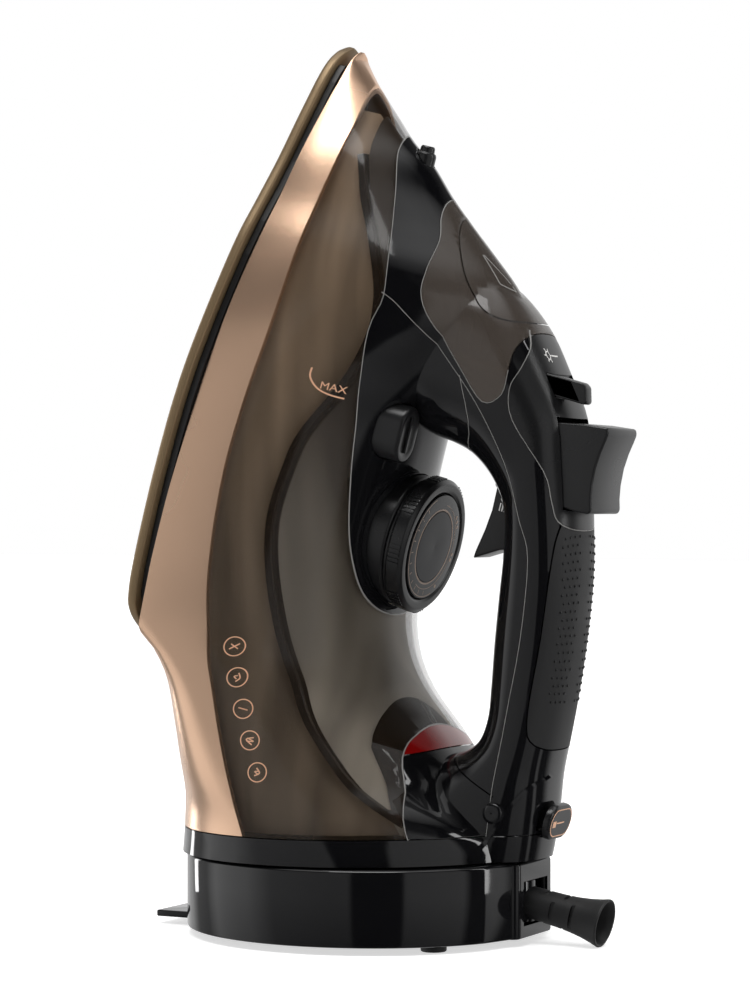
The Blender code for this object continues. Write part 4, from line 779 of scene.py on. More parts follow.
def openings():
    """Cutters for the holes that the dial, buttons, lever, trigger, nozzle and lock come through."""
    long, short = CLEAN_SIZE
    return [
        rod("dial_hole", 0.02235, stretch(DIAL_U, 0, 0.0515), 0.032, sides=96),
        pill("clean_hole", stretch(*CLEAN_PLACE), short / 2 + RUN, (long - short) / 2,
             [(0, -0.0136), (0, 0.014)], 64),
        rod("nozzle_hole", 0.00375, stretch(*NOZZLE_START), 0.027, (1, 0, 0), 48),
        slab("lever_slot", table(2, 215.2, 97, 222.2, 97, 222.2, 118, 215.2, 118), -0.0109, 0.0109),
        slab("thumb_hole", table(2, 181.4, 104.5, 209.2, 104.5, 211.2, 134, 181.4, 134),
             -THUMB_HALF - RUN, THUMB_HALF + RUN),
        slab("trigger_slot", table(2, 160.9, 90, 188.4, 86, 188.4, 103, 160.9, 109), -0.0069, 0.0069),
        slab("lock_slot", table(2, 78.6, 127, 85.4, 127, 85.4, 145, 78.6, 145), -0.0044, 0.0089),
    ]


def split_shell():
    """The shell cut along its seams; each piece is named by a spot that only it lies nearest to."""
    shell = cut(fine_shell(), *openings())
    ring = add_object("heel_ring", shell.data.copy())
    named = {"heel_ring": keep(ring, level_box(HEEL_Z, RING_TOP))}
    cut(shell, level_box(-1, RING_TOP + SEAM))
    for line in SEAMS:
        cut(shell, seam_cutter(smooth_line(line)))
    bpy.ops.object.select_all(action="DESELECT")
    shell.select_set(True)
    bpy.context.view_layer.objects.active = shell
    bpy.ops.mesh.separate(type="LOOSE")
    loose = list(bpy.context.selected_objects)
    for name, place in SPOTS.items():
        spot = stretch(*place)
        nearest = min(loose, key=lambda p: (p.closest_point_on_mesh(spot)[1] - spot).length)
        loose.remove(nearest)
        named[name] = nearest
    for scrap in loose:
        bpy.data.objects.remove(scrap)
    return named

CASING_FINISH = {"front_window": "smoked_window", "fill_door": "smoked_window", "heel_ring": "polished_black"}
casing = split_shell()
for name, piece in casing.items():
    fit(stand(piece), name, CASING_FINISH.get(name))
    piece.name = name + "_skin"
print("casing:", {name: len(piece.data.polygons) for name, piece in casing.items()})

# %% [markdown]
# ## Inside the smoked tank
# The dark wall between the water and the dry upper half shows through the smoked plastic as a long
# curve, so it is rebuilt as finely as the casing.

# %% Tank wall and floor
TANK_COVER = table(
    2, 276, 23.6, 270, 27, 262, 31.5, 250, 40, 238, 47.2, 228, 50.2, 218, 50, 204, 46.8, 186, 40, 174, 38.2, 156,
    38, 138, 41.8, 119, 49, 106, 58.5, 97, 66, 87, 77, 80, 87, 73, 105,
)


def tank_wall():
    wall = keep(fine_body("tank_wall", WALL + GAP), seam_cutter(smooth_line(TANK_COVER), 0.0016))
    return cut(
        wall, level_box(-1, RING_TOP + 0.003),
        rod("shaft_well", 0.0051, stretch(DIAL_U, 0, 0.014), 0.035, sides=32),
        rod("valve_well", 0.00485, stretch(0.218, 0, 0.014), 0.05, sides=32),
        rod("funnel_hole", 0.00435, stretch(0.25, 0, 0.02), 0.04, sides=32),
    )


wall = fit(stand(tank_wall()), "tank_cover", "polished_black")
wall.name = "tank_wall_skin"

# %% [markdown]
# ## Lining of the tank
# Behind the smoked plastic the tank is lined. A curved wall divides it: outside the curve lies the warm
# brown water room, and inside it the dry half, light warm grey below and darkened above by painted shade.
# Both linings are a thin shell of the body's own form, set in from it, so the plastic gets its depth.

# %% Tank linings
LINING_THICKNESS = 0.0012
LINING_RISE = 0.002
LINING_EDGE = [(0.29, 0.021)] + [(u, round(h + LINING_RISE, 7)) for u, h in TANK_COVER[:1] + TANK_COVER[2:]]


def lining(name, inset, room):
    """The part of a thin inner shell that a side-view outline takes in."""
    skin = cut(fine_body(name, inset), fine_body("hollow", inset + LINING_THICKNESS))
    return cut(keep(skin, slab("room", room, -0.09, 0.09)), level_box(-1, RING_TOP + 0.001))


edge = smooth_line(LINING_EDGE)
dry_room = edge + table(2, 66, 108, 92, 84, 108, 76, 140, 62, 200, 59, 232, 56, 285, 40)
wet_room = edge + table(2, 20, 105, 20, 10, 320, 4, 300, 20)
dry = cut(lining("tank_lining_dry", 0.0042, dry_room),
          rod("well", 0.0224, stretch(DIAL_U, 0, 0.04), 0.09, sides=64))
wet = lining("tank_lining_wet", 0.007, wet_room)
fit(stand(dry), "tank_cover", "lining_dry", stands=False)
fit(stand(wet), "tank_cover", "lining_wet", stands=False)
print("linings:", len(dry.data.polygons), len(wet.data.polygons))

# %% [markdown]
# ## Soleplate
# The soleplate is one flat plate with a rounded edge and steam holes. Its outline is the same table of
# half widths that the frame uses, with many more points, and the rounding is a few rings set in from it.


# %% Soleplate
STEAM_HOLES = table(2, 276, 0, 262, 9, 262, -9, 240, 19, 240, -19, 214, 27, 214, -27, 186, 31, 186, -31)

SOLE_STEPS = 150
SOLE_ROUNDING, SOLE_REAR_ROUNDING = 0.0015, 0.0008

def fine_outline(inset):
    first, last = SOLE_HALF_WIDTH[0][0] + inset, SOLE_HALF_WIDTH[-1][0] - 1.6 * inset
    near = []
    for k in range(SOLE_STEPS + 1):
        u = first + (last - first) * (1 - math.cos(math.pi * k / SOLE_STEPS)) / 2
        near.append((u, max(along(SOLE_HALF_WIDTH, u) - inset, 0.00002)))
    near[0] = (near[0][0], 0)
    near[-1] = (near[-1][0], 0)
    return near + [(u, -v) for u, v in near[-2:0:-1]]


def fine_sole():
    rings = []
    for k in range(7):
        turn = math.pi / 2 * k / 6
        rings.append((SOLE_ROUNDING * (1 - math.sin(turn)), SOLE_ROUNDING * (1 - math.cos(turn))))
    for k in range(1, 5):
        turn = math.pi / 2 * k / 4
        drop = SOLE_REAR_ROUNDING * (1 - math.sin(turn))
        rings.append((SOLE_REAR_ROUNDING * (1 - math.cos(turn)), SOLE_THICKNESS - drop))
    loops = [[stretch(u, v, h) for u, v in fine_outline(inset)] for inset, h in rings]
    plate = loft("soleplate_skin", loops)
    for u, v in STEAM_HOLES:
        cut(plate, rod("hole", 0.0016, stretch(u, v, -0.002), 0.009, sides=32))
    return plate


fit(stand(fine_sole()), "soleplate", angle=40)
print("soleplate holes:", len(STEAM_HOLES))

# %% [markdown]
# ## Dial
# The dial is turned, so its section is spun round the axis. Its rim has groups of fine ribs for the
# fingers, which repeat, so a Geometry Nodes tree copies one rib round the rim. The face carries printed
# rings and marks, raised by a fraction of a millimetre.

# %% Turned pieces
DIAL_AXIS_FOOT = stretch(DIAL_U, 0, 0.0575)


def spun(name, profile, sides=128):
    """A turned ring round the dial's own axis."""
    return turned(name, profile, DIAL_AXIS_FOOT, sides=sides, hollow=True)


def rounded(profile, radius=0.0005, steps=4):
    """A closed section with its corners rounded."""
    out = []
    count = len(profile)
    for k in range(count):
        here = Vector(profile[k])
        back = Vector(profile[k - 1]) - here
        on = Vector(profile[(k + 1) % count]) - here
        reach = min(radius, back.length * 0.4, on.length * 0.4)
        start, end = here + back.normalized() * reach, here + on.normalized() * reach
        for j in range(steps + 1):
            s = j / steps
            out.append(tuple(start * (1 - s) ** 2 + here * 2 * s * (1 - s) + end * s**2))
    return out


collar_profile = table(2, 3.4, 0, 22, 0, 22, 9, 21.2, 9.8, 19.8, 9.8, 19.8, 2.2, 3.4, 2.2)
fit(stand(spun("dial_collar_skin", rounded(collar_profile, 0.0007))), "dial_collar", "satin_black")
knob_profile = table(
    2, 3.4, 7.2, 7, 7.2, 7, 12.4, 20.6, 12.4, 20.6, 10.2, 22, 10.2, 22, 11.2, 22.75, 11.7, 22.75, 15.9, 21.4, 17.1,
    19.2, 17.1, 18.2, 16.5, 17.95, 15.55, 3.4, 15.55,
)
fit(stand(spun("dial_knob_skin", rounded(knob_profile, 0.00035))), "dial_knob", "satin_black")
cap_profile = table(2, 0.01, 15.9, 17.6, 15.9, 17.6, 17, 17.2, 17.1, 12.3, 17.1, 12, 16.9, 0.01, 16.9)
fit(stand(spun("dial_cap_skin", cap_profile)), "dial_cap", "satin_black")
print("dial: collar, knob and cap")

# %% [markdown]
# ## Ribs round the dial
# The finger ribs come in eight groups of five thin bars. A Geometry Nodes tree places one bar per
# point of a circle, keeps only the points that fall in a group, and turns each bar to face outwards.

# %% Repeater for bars round an axis
def finish_tree(tree, instances, given, result):
    """Every tree here ends the same way: real geometry, with its finish."""
    real = wired(tree, "GeometryNodeRealizeInstances", {"Geometry": instances})
    paint = wired(tree, "GeometryNodeSetMaterial", {
        "Geometry": real.outputs["Geometry"], "Material": given["Finish"]})
    tree.links.new(paint.outputs["Geometry"], result["Geometry"])
    return tree


def make_ribs_tree():
    """Bars on a circle: in each group of places the first few get a bar."""
    tree, given, result = new_group("dial_ribs", [
        ("Places", "Int", 96), ("Group Size", "Int", 12), ("Bars Per Group", "Int", 5), ("Radius", "Float", 0.0226),
        ("Bar Width", "Float", 0.00055), ("Bar Depth", "Float", 0.001), ("Bar Height", "Float", 0.004),
        ("Finish", "Material", None),
    ], [("Geometry", "Geometry")], "GeometryNodeTree")
    circle = wired(tree, "GeometryNodeMeshCircle", {"Vertices": given["Places"], "Radius": given["Radius"]})
    index = wired(tree, "GeometryNodeInputIndex").outputs["Index"]
    in_group = wired(tree, "ShaderNodeMath", {0: index, 1: given["Group Size"]}, operation="MODULO").outputs[0]
    is_bar = wired(tree, "ShaderNodeMath", {0: in_group, 1: given["Bars Per Group"]}, operation="LESS_THAN")
    size = wired(tree, "ShaderNodeCombineXYZ", {
        "X": given["Bar Depth"], "Y": given["Bar Width"], "Z": given["Bar Height"]})
    bar = wired(tree, "GeometryNodeMeshCube", {"Size": size.outputs["Vector"]})
    place = wired(tree, "GeometryNodeInputPosition").outputs["Position"]
    face = wired(tree, "FunctionNodeAlignRotationToVector", {"Vector": place}, axis="X")
    spread = wired(tree, "GeometryNodeInstanceOnPoints", {
        "Points": circle.outputs["Mesh"], "Selection": is_bar.outputs[0], "Instance": bar.outputs["Mesh"],
        "Rotation": face.outputs["Rotation"]})
    return finish_tree(tree, spread.outputs["Instances"], given, result)


def grown_from(tree, name, values, start=None):
    """Runs a tree on a mesh (or on nothing) and hands back its result as a plain mesh object."""
    thing = add_object(name, start.data.copy() if start else bpy.data.meshes.new(name))
    change = thing.modifiers.new("grow", "NODES")
    change.node_group = tree
    for item in tree.interface.items_tree:
        if item.in_out == "INPUT" and item.name in values:
            change[item.identifier] = values[item.name]
    return bake(thing)


ribs = grown_from(make_ribs_tree(), "dial_ribs", {"Finish": FINISHES["satin_black"]})
ribs.data.transform(IRON_PLACE @ Matrix.Translation(DIAL_AXIS_FOOT + Vector((0, 0, 0.0139))))
fit(ribs, "dial_knob", "satin_black", stands=False)
print("dial ribs:", len(ribs.data.polygons) // 6)

# %% [markdown]
# ## Printing on the dial
# Thin bronze arcs circle the dial's face and a few generic marks tell how hot the iron gets. Each is a
# flat printed shape, so each is a thin raised strip.


# %% Flat printed shapes
def strip(name, path, width, thick=0.00006, closed=False):
    """A thin ribbon along a path of (place, across) pairs, standing on the surface by its thickness."""
    rise = Vector((0, 0, thick))
    rings = []
    for place, across in path:
        half = across.normalized() * width / 2
        rings.append([place - half, place + half, place + half + rise, place - half + rise])
    return loft(name, rings, closed=closed)


def on_dial(degrees, radius, height=0.01708):
    """A point of the dial's face, and the direction that leads out to it."""
    turn = math.radians(degrees)
    out = Vector((math.cos(turn), math.sin(turn), 0))
    return DIAL_AXIS_FOOT + out * radius + Vector((0, 0, height)), out


def merged(name, pieces):
    """One mesh object out of several that don't touch."""
    shape = bmesh.new()
    for piece in pieces:
        shape.from_mesh(piece.data)
        bpy.data.objects.remove(piece)
    return shaped(name, shape)


ARC_STEPS = 64
ARCS = ((0.017, 0.00028, 20, 200), (0.0144, 0.00022, 150, 350), (0.0126, 0.00055, 0, 359.9))


def dial_marks():
    """Arcs of (radius, width, start, end), then one, two and three dots, then short ticks."""
    pieces = []
    for radius, width, start, end in ARCS:
        path = [on_dial(start + (end - start) * k / ARC_STEPS, radius) for k in range(ARC_STEPS + 1)]
        pieces.append(strip("arc", path, width))
    for step in range(3):
        for dot in range(step + 1):
            spot, _ = on_dial(-150 + 46 * step + (dot - step / 2) * 7, 0.0157)
            pieces.append(rod("dot", 0.00062, spot, 0.00008, sides=32))
    for turn in range(40, 190, 14):
        tick = [on_dial(turn, radius) for radius in (0.015, 0.0163)]
        pieces.append(strip("tick", [(place, Vector((-out.y, out.x, 0))) for place, out in tick], 0.0003))
    return merged("dial_marks", pieces)


fit(stand(dial_marks()), "dial_cap", "print_bronze", stands=False)
middle_profile = table(2, 0.01, 16.6, 12, 16.6, 12, 17.2, 0.01, 17.35)
middle_disc = spun("dial_middle", rounded(middle_profile, 0.0002))
fit(stand(middle_disc), "dial_cap", "satin_grey", stands=False)
print("dial marks:", len(ARCS), "arcs")

# %% [markdown]
# ## Pressed and sliding controls
# The spray button has a dished top for the thumb, so its outline in the side view is drawn dished and
# its edges are rounded with a Bevel. The self-clean button is a rounded oval with a raised bar. The
# trigger and the lever fin are also side-view outlines, rounded the same way.


# %% Buttons, trigger, lever
def soften(piece, width, segments=3, angle=40):
    """Rounds every edge sharper than the angle, and bakes the result into the mesh."""
    change = piece.modifiers.new("soften", "BEVEL")
    change.width, change.segments = width, segments
    change.limit_method, change.angle_limit = "ANGLE", math.radians(angle)
    change.use_clamp_overlap = True
    return bake(piece)


THUMB_SIDE = table(
    2, 181.9, 108.5, 207.3, 108.5, 209.6, 121, 210.5, 129.2, 208.8, 130, 206, 129.6, 202, 128.9, 197, 128.5, 191.5,
    128.8, 187, 129.6, 183.6, 130.6, 182.2, 130, 181.9, 126,
)
TRIGGER_SIDE = table(
    2, 186.4, 98.4, 184.2, 100.2, 172, 106, 164, 106, 162.3, 100.5, 157.2, 91.9, 160, 92.2, 167.2, 93.6, 174.1,
    94.4, 183.5, 94.2, 186.2, 95.2,
)
LEVER_REST = 0.008
LEVER_HALF = 0.0025

thumb = soften(slab("spray_button_skin", THUMB_SIDE, -THUMB_HALF, THUMB_HALF), 0.0009, 4, 25)
fit(stand(thumb), "spray_button", "satin_black")
trigger = soften(slab("trigger_skin", TRIGGER_SIDE, -0.0065, 0.0065), 0.0007, 4, 30)
cut(trigger, rod("bore", 0.00235, stretch(0.1835, -0.009, 0.097), 0.018, (0, 1, 0), 32))
fit(stand(trigger), "steam_trigger", "satin_black")
fin_side = table(
    2, 216, 96.5, 222, 96.5, 222.1, 108, 222, 116.4, 221, 117.9, 216.4, 119.3, 215.4, 118.7, 215.6, 108,
)
fin = soften(slab("lever_skin", fin_side, LEVER_REST - LEVER_HALF, LEVER_REST + LEVER_HALF), 0.0007, 4, 30)
fit(stand(fin), "steam_lever", "satin_black", stands=False)

slot_floor = slab("lever_slot_floor", table(2, 215.3, 104, 222.1, 101.6, 222.1, 102.8, 215.3, 105.2),
                  -0.0108, 0.0108)
fit(stand(slot_floor), "control_panel", "satin_black", stands=False)


clean_reach = (CLEAN_SIZE[0] - CLEAN_SIZE[1]) / 2
CLEAN_LEVELS = table(2, 0, -10.6, 0, -1.5, 0.15, -0.7, 0.6, -0.15, 1.3, 0, 2.4, -0.25, 4.2, -0.55)
clean = pill("clean_button_skin", stretch(*CLEAN_PLACE), CLEAN_SIZE[1] / 2, clean_reach, CLEAN_LEVELS, 96)
fit(stand(clean), "clean_button", "satin_black")
ridge = [(stretch(CLEAN_PLACE[0] + du, CLEAN_PLACE[1], CLEAN_PLACE[2] - 0.0006), Vector((0, 1, 0)))
         for du in (-0.006, -0.003, 0, 0.003, 0.006)]
fit(stand(soften(strip("clean_ridge", ridge, 0.0011, 0.0009), 0.00025)), "clean_button", "satin_black", stands=False)
print("controls: spray button, trigger, lever, clean button")

# %% [markdown]
# ## Springs
# Each pushed control sits on a small coil spring. A spring is a round wire swept along a helix.

# %% Springs
SPRING_WIRE = 0.0005


def spring(name, place, radius, length, turns):
    steps = 24
    path = []
    for k in range(turns * steps + 1):
        turn = 2 * math.pi * k / steps
        rise = SPRING_WIRE + (length - 2 * SPRING_WIRE) * k / (turns * steps)
        path.append(place + Vector((radius * math.cos(turn), radius * math.sin(turn), rise)))
    return tube(name, path, SPRING_WIRE)


for name, joint, place, radius, length, turns, press, from_top in (
    ("spray_spring", "spray_press", (0.2015, 0, 0.09735), 0.0036, 0.0108, 5, 0.004, False),
    ("clean_spring", "clean_press", (0.1916, 0.022, 0.047), 0.0034, 0.0086, 4, 0.0025, False),
    ("trigger_spring", "trigger_pull", (0.167, 0, 0.1064), 0.0026, 0.00525, 3, 0.0028, True),
):
    coil = fit(stand(spring(name + "_coil", stretch(*place), radius, length, turns)), name, "bright_steel")
    foot = IRON_PLACE @ (stretch(*place) + Vector((0, 0, length if from_top else 0)))
    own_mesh(coil)

# %% [markdown]
# ## Spray nozzle and lock
# The nozzle is a turned plug with a stepped tip and a fine hole. The lock is a rounded slider with a
# small arrow, in a thin rose ring on the rear panel.

# %% Nozzle and lock
nozzle_profile = table(2, 0.7, 0, 3.4, 0, 3.4, 17.8, 3.1, 18.6, 2.5, 18.9, 2.4, 20.4, 2, 21, 1.3, 21, 0.7, 20.2)
nozzle = turned("nozzle_skin", rounded(nozzle_profile, 0.00025), stretch(*NOZZLE_START), (1, 0, 0), 64, hollow=True)
fit(stand(nozzle), "spray_nozzle", "satin_black")


LOCK_CENTRE = stretch(0.082, 0, 0.1392)
LOCK_TOP = 0.00238
LOCK_REACH = 0.0035
LOCK_LEVELS = table(2, 0, 0, 0, 1.4, 0.25, 1.95, 0.8, 2.3, 1.6, 2.4, 3, 2.4)
slider = pill("lock_slider_skin", LOCK_CENTRE, 0.0058, LOCK_REACH, LOCK_LEVELS, 80, along_y=True)
stem = box("stem", (-0.003, -0.004, -0.008), (0.003, 0.004, 0.001))
stem.data.transform(Matrix.Translation(LOCK_CENTRE))
fit(stand(join(slider, stem)), "lock_slider", "satin_black")
oval = stadium(LOCK_CENTRE, 0.0044, LOCK_REACH, LOCK_TOP, 72, along_y=True)
shaft = [(LOCK_CENTRE + Vector((0, across, 0)) + Vector((0, 0, LOCK_TOP)), Vector((1, 0, 0)))
         for across in (-0.0025, 0.0035)]
padlock = box("padlock", (-0.0013, 0.004, 0), (0.0008, 0.0064, 0.00008))
padlock.data.transform(Matrix.Translation(LOCK_CENTRE + Vector((0, 0, LOCK_TOP))))
lock_marks = [strip("oval", oval, 0.00035, closed=True), strip("shaft", shaft, 0.00045), padlock]
fit(stand(merged("lock_marks", lock_marks)), "lock_slider", "print_rose", stands=False)
print("lock slider and its marks")

# %% [markdown]
# ## Painted highlights along the seams
# Each moulding has a tiny polished chamfer along its seam, and all of them together read as a bright
# hairline. A thin light grey sheet standing in each seam, flush with the casing, paints that hairline on: its
# colour is a painted highlight, where the real chamfer is black plastic catching the light.

# %% Seam hairlines
HAIRLINE = 0.00015
HAIRLINES = {
    "shoulder": (SHOULDER_SEAM, "side_housing"), "tank": (TANK_SEAM, "side_housing"),
    "window": (DOOR_SEAM[:11], "upper_housing"),
    "panel": (PANEL_SEAM, "control_panel"), "rear": (REAR_SEAM, "rear_panel"),
    "pillar": (PILLAR_SEAM, "side_housing"),
}


HAIRLINE_DEPTH = 0.0012
SKIN_INSET = 0.00004


def hairlines():
    skin = cut(fine_form(SKIN_INSET, "skin"), fine_form(HAIRLINE_DEPTH))
    for name, (line, node) in HAIRLINES.items():
        sheet = add_object(name + "_hairline", skin.data.copy())
        keep(sheet, seam_cutter(smooth_line(line), HAIRLINE))
        cut(sheet, level_box(-1, RING_TOP), *openings())
        fit(stand(sheet), node, "painted_seam_highlight", stands=False)
    bpy.data.objects.remove(skin)


hairlines()
print("hairlines:", list(HAIRLINES))

# %% [markdown]
# ## Power base
# The base is one low glossy tray with a rounded rim. Its plan is an ellipse that runs out into a small
# square block at the rear, where the cord guard comes out, and a flat tongue sticks out under the tip.

# %% Power base
BASE_MARGIN = 0.00275
BASE_LEFT_X, BASE_RIGHT_X = (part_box("base_bottom")[end][0] + side * BASE_MARGIN for end, side in ((0, -1), (1, 1)))
BASE_MIDDLE = (BASE_LEFT_X + BASE_RIGHT_X) / 2
BASE_HALF_WIDTH = 0.058
BASE_BLOCK_HALF_WIDTH = 0.014
BASE_BEND = 0.0022
BASE_TOP, BASE_WALL = (0.027, 0.0024)
BASE_STEPS = 220
BASE_LEVELS = table(2, 0.7, 2.4, 0.25, 2.65, 0, 3.2, 0, 25.9, 0.12, 26.35, 0.45, 26.75, 0.95, 26.95, 1.5, 27)


def base_outline(inset, z):
    """The tray's plan: most of an ellipse, then the two rounded corners of the block at its rear."""
    reach = (BASE_RIGHT_X - BASE_LEFT_X) / 2 - inset
    first = math.acos(0.9)
    ring = []
    for k in range(BASE_STEPS + 1):
        turn = first + (2 * math.pi - 2 * first) * k / BASE_STEPS
        ring.append((BASE_MIDDLE + reach * math.cos(turn), (BASE_HALF_WIDTH - inset) * math.sin(turn)))
    rear, side = BASE_RIGHT_X - inset, BASE_BLOCK_HALF_WIDTH - inset / 2
    for centre, start in ((-side + BASE_BEND, -math.pi / 2), (side - BASE_BEND, 0)):
        for k in range(9):
            turn = start + math.pi / 2 * k / 8
            ring.append((rear - BASE_BEND + BASE_BEND * math.cos(turn), centre + BASE_BEND * math.sin(turn)))
    return [Vector((x, y, z)) for x, y in ring]


def base_skin():
    room = loft("room", [base_outline(BASE_WALL, z) for z in (-BASE_WALL, BASE_TOP - BASE_WALL)])
    shell = cut(
        loft("base_skin", [base_outline(inset, z) for inset, z in BASE_LEVELS]), room,
        box("post_hole", (BASE_MIDDLE - 0.0134, -0.0094, 0.013), (BASE_MIDDLE + 0.0134, 0.0094, 0.03)),
        box("guard_slot", (BASE_RIGHT_X - 0.0048, -0.0096, 0.0064), (BASE_RIGHT_X + 0.0024, 0.0096, 0.0208)),
    )
    tongue = box("tongue", (BASE_LEFT_X - 0.0125, -0.014, 0.0024), (BASE_LEFT_X + 0.0022, 0.014, 0.0046))
    return join(shell, soften(tongue, 0.0005))


fit(base_skin(), "base_housing", "polished_black")

# %% [markdown]
# ## Cord guard and feet
# The guard is a turned bell with short slots cut on alternate sides. Its section is drawn with rounded
# corners and spun round the guard's own axis, which droops towards the table.

# %% Cord guard and feet
GUARD_PIVOT = Vector((BASE_RIGHT_X - 0.0094, 0, 0.0148))
GUARD_AXIS = Vector((math.cos(math.radians(12)), 0, -math.sin(math.radians(12))))


def guard_skin():
    """A flared bell, with short slots cut on alternate sides."""
    flare = table(
        2, 3.6, 2, 5.2, 2, 5.3, 12, 5.5, 19, 5.9, 24, 6.5, 28, 7.3, 31.6, 8, 34, 7.9, 34.5, 7.2, 34.5, 6.2, 32.5,
        5.2, 29, 4.3, 24, 3.7, 18, 3.6, 12,
    )
    guard = turned("guard_skin", rounded(flare, 0.0005, 3), GUARD_PIVOT, GUARD_AXIS, 72, hollow=True)
    tilt = frame_at(GUARD_PIVOT, GUARD_AXIS)
    for k in range(8):
        reach = 0.013 + 0.0036 * (k // 2)
        way = 1 if k % 2 else -1
        along_x = k // 2 % 2
        low, high = sorted((way * 0.0045, way * 0.009))
        wide = 0.0042
        size = ((low, -wide), (high, wide)) if along_x else ((-wide, low), (wide, high))
        slot = box("slot", (*size[0], reach), (*size[1], reach + 0.0013))
        slot.data.transform(tilt)
        cut(guard, slot)
    return join(guard, rod("drum", 0.006, GUARD_PIVOT - Vector((0, 0, 0.0056)), 0.0112, sides=48))


fit(guard_skin(), "cord_guard", "soft_black")
barrel = rounded(table(2, 0.01, -8.1, 8.7, -8.1, 8.7, 5.7, 0.01, 5.7), 0.0006)
fit(turned("guard_barrel", barrel, GUARD_PIVOT, sides=72, hollow=True), "cord_guard", "polished_black", stands=False)
for number, (x, y) in enumerate([(-0.0506, 0), (0.031, -0.0325), (0.031, 0.0325)], 1):
    pad = rounded(table(2, 0.01, 0, 4.2, 0, 4.2, 2.1, 0.01, 2.1), 0.0007)
    foot = turned(f"foot_{number}_skin", pad, (x, y, 0), sides=48, hollow=True)
    fit(foot, f"foot_{number}", "amber_clear" if number == 3 else "soft_black")
print("base, guard and feet")

# %% [markdown]
# ## Grip dots
# Small raised dots on both sides of the grip stop a damp hand slipping. They lie in staggered rows that
# follow the handle, so a hidden bed of points is laid on the handle and Geometry Nodes puts a low dome
# on each.


# %% Grip dots
DOT_SPACING = 0.0025
DOT_COLUMNS = 4


def make_dots_tree():
    """A low dome on every point of a bed, turned to face out."""
    tree, given, result = new_group("grip_dots", [
        ("Bed", "Geometry", None), ("Dot Radius", "Float", 0.00046), ("Flatness", "Float", 0.75),
        ("Finish", "Material", None),
    ], [("Geometry", "Geometry")], "GeometryNodeTree")
    dome = wired(tree, "GeometryNodeMeshUVSphere", {"Segments": 8, "Rings": 5, "Radius": given["Dot Radius"]})
    normal = wired(tree, "GeometryNodeInputNormal").outputs["Normal"]
    face = wired(tree, "FunctionNodeAlignRotationToVector", {"Vector": normal}, axis="Z")
    squat = wired(tree, "ShaderNodeCombineXYZ", {"X": 1, "Y": 1, "Z": given["Flatness"]})
    spread = wired(tree, "GeometryNodeInstanceOnPoints", {
        "Points": given["Bed"], "Instance": dome.outputs["Mesh"], "Rotation": face.outputs["Rotation"],
        "Scale": squat.outputs["Vector"]})
    return finish_tree(tree, spread.outputs["Instances"], given, result)


def dot_bed(side):
    """A bed whose points are the dots' places, in staggered rows down the handle."""
    places, last = [], None
    for row, wide in handle_curve(40):
        spot = Vector(row[2:])
        if 0.119 < row[2] < 0.174 and (last is None or (spot - last).length > DOT_SPACING):
            places.append((row, wide))
            last = spot
    points, faces = [], []
    for k, (row, wide) in enumerate(places):
        inner, outer = Vector((row[0], 0, row[1])), Vector((row[2], 0, row[3]))
        middle, reach = (inner + outer) / 2, (outer - inner) / 2
        for c in range(DOT_COLUMNS):
            turn = math.radians(9 + 8.5 * (c + (k % 2) / 2))
            spot = middle + reach * math.cos(turn) ** (2 / HANDLE_ROUNDNESS)
            out = math.sin(turn) ** (2 / HANDLE_ROUNDNESS)
            points.append(tuple(stretch(spot.x, side * wide * out, spot.z)))
            if k and c:
                a = (k - 1) * DOT_COLUMNS + c - 1
                quad = (a, a + 1, a + DOT_COLUMNS + 1, a + DOT_COLUMNS)
                faces.append(quad if side > 0 else quad[::-1])
    mesh = bpy.data.meshes.new("bed")
    mesh.from_pydata(points, [], faces)
    return add_object("bed", mesh)


DOTS = make_dots_tree()
for side, name in ((1, "grip_dots_right"), (-1, "grip_dots_left")):
    bed = dot_bed(side)
    dots = grown_from(DOTS, name, {"Finish": FINISHES["soft_black"]}, bed)
    print(name, len(bed.data.vertices))
    bpy.data.objects.remove(bed)
    fit(stand(dots), "grip_pad", "satin_black", stands=False)

# %% [markdown]
# ## Printed marks
# The tank carries a fill line and a column of round marks, and the controls have small plain icons. Each
# mark is drawn flat in the side view and dropped onto the surface it is printed on.

PRINT_LIFT = 0.00007
SIDEWAYS = IRON_TURN @ Vector((0, -1, 0))


def dropped(name, shapes, skins, lift=PRINT_LIFT, above=False):
    """Flat shapes, each a (rows of points, closed) band, dropped onto the nearest of the skins.

    They are drawn in the side view and dropped sideways, or in plan and dropped from above the iron's crest.
    A point over a seam finds no skin, so it keeps the depth of the point before it.
    """
    points, faces = [], []
    depth = 0.094
    way = IRON_TURN @ Vector((0, 0, -1)) if above else SIDEWAYS
    for rows, closed in shapes:
        first, size = len(points), len(rows[0])
        for u, w in (point for row in rows for point in row):
            start = IRON_PLACE @ (stretch(u, w, 0.18) if above else stretch(u, 0.1, w))
            hits = [skin.ray_cast(start, way, distance=1) for skin in skins]
            depth = min([(place - start).length for hit, place, _, _ in hits if hit], default=depth)
            points.append(start + way * (depth - lift))
        for r in range(len(rows) - 1):
            for k in range(size if closed else size - 1):
                after = (k + 1) % size
                a, b = first + r * size, first + (r + 1) * size
                faces.append((a + k, a + after, b + after, b + k))
    count = len(points)
    points += [p + way * 2 * lift for p in points]
    edges = dict.fromkeys((a, b) for face in faces for a, b in zip(face, face[1:] + face[:1]))
    walls = [(b, a, a + count, b + count) for a, b in edges if (b, a) not in edges]
    backs = [tuple(i + count for i in reversed(face)) for face in faces]
    return new_object(name, points, faces + backs + walls)


def ring_shape(centre, outer, inner, steps=40):
    return ([[(centre[0] + r * math.cos(t), centre[1] + r * math.sin(t)) for t in turns_of(steps)]
             for r in (inner, outer)], True)


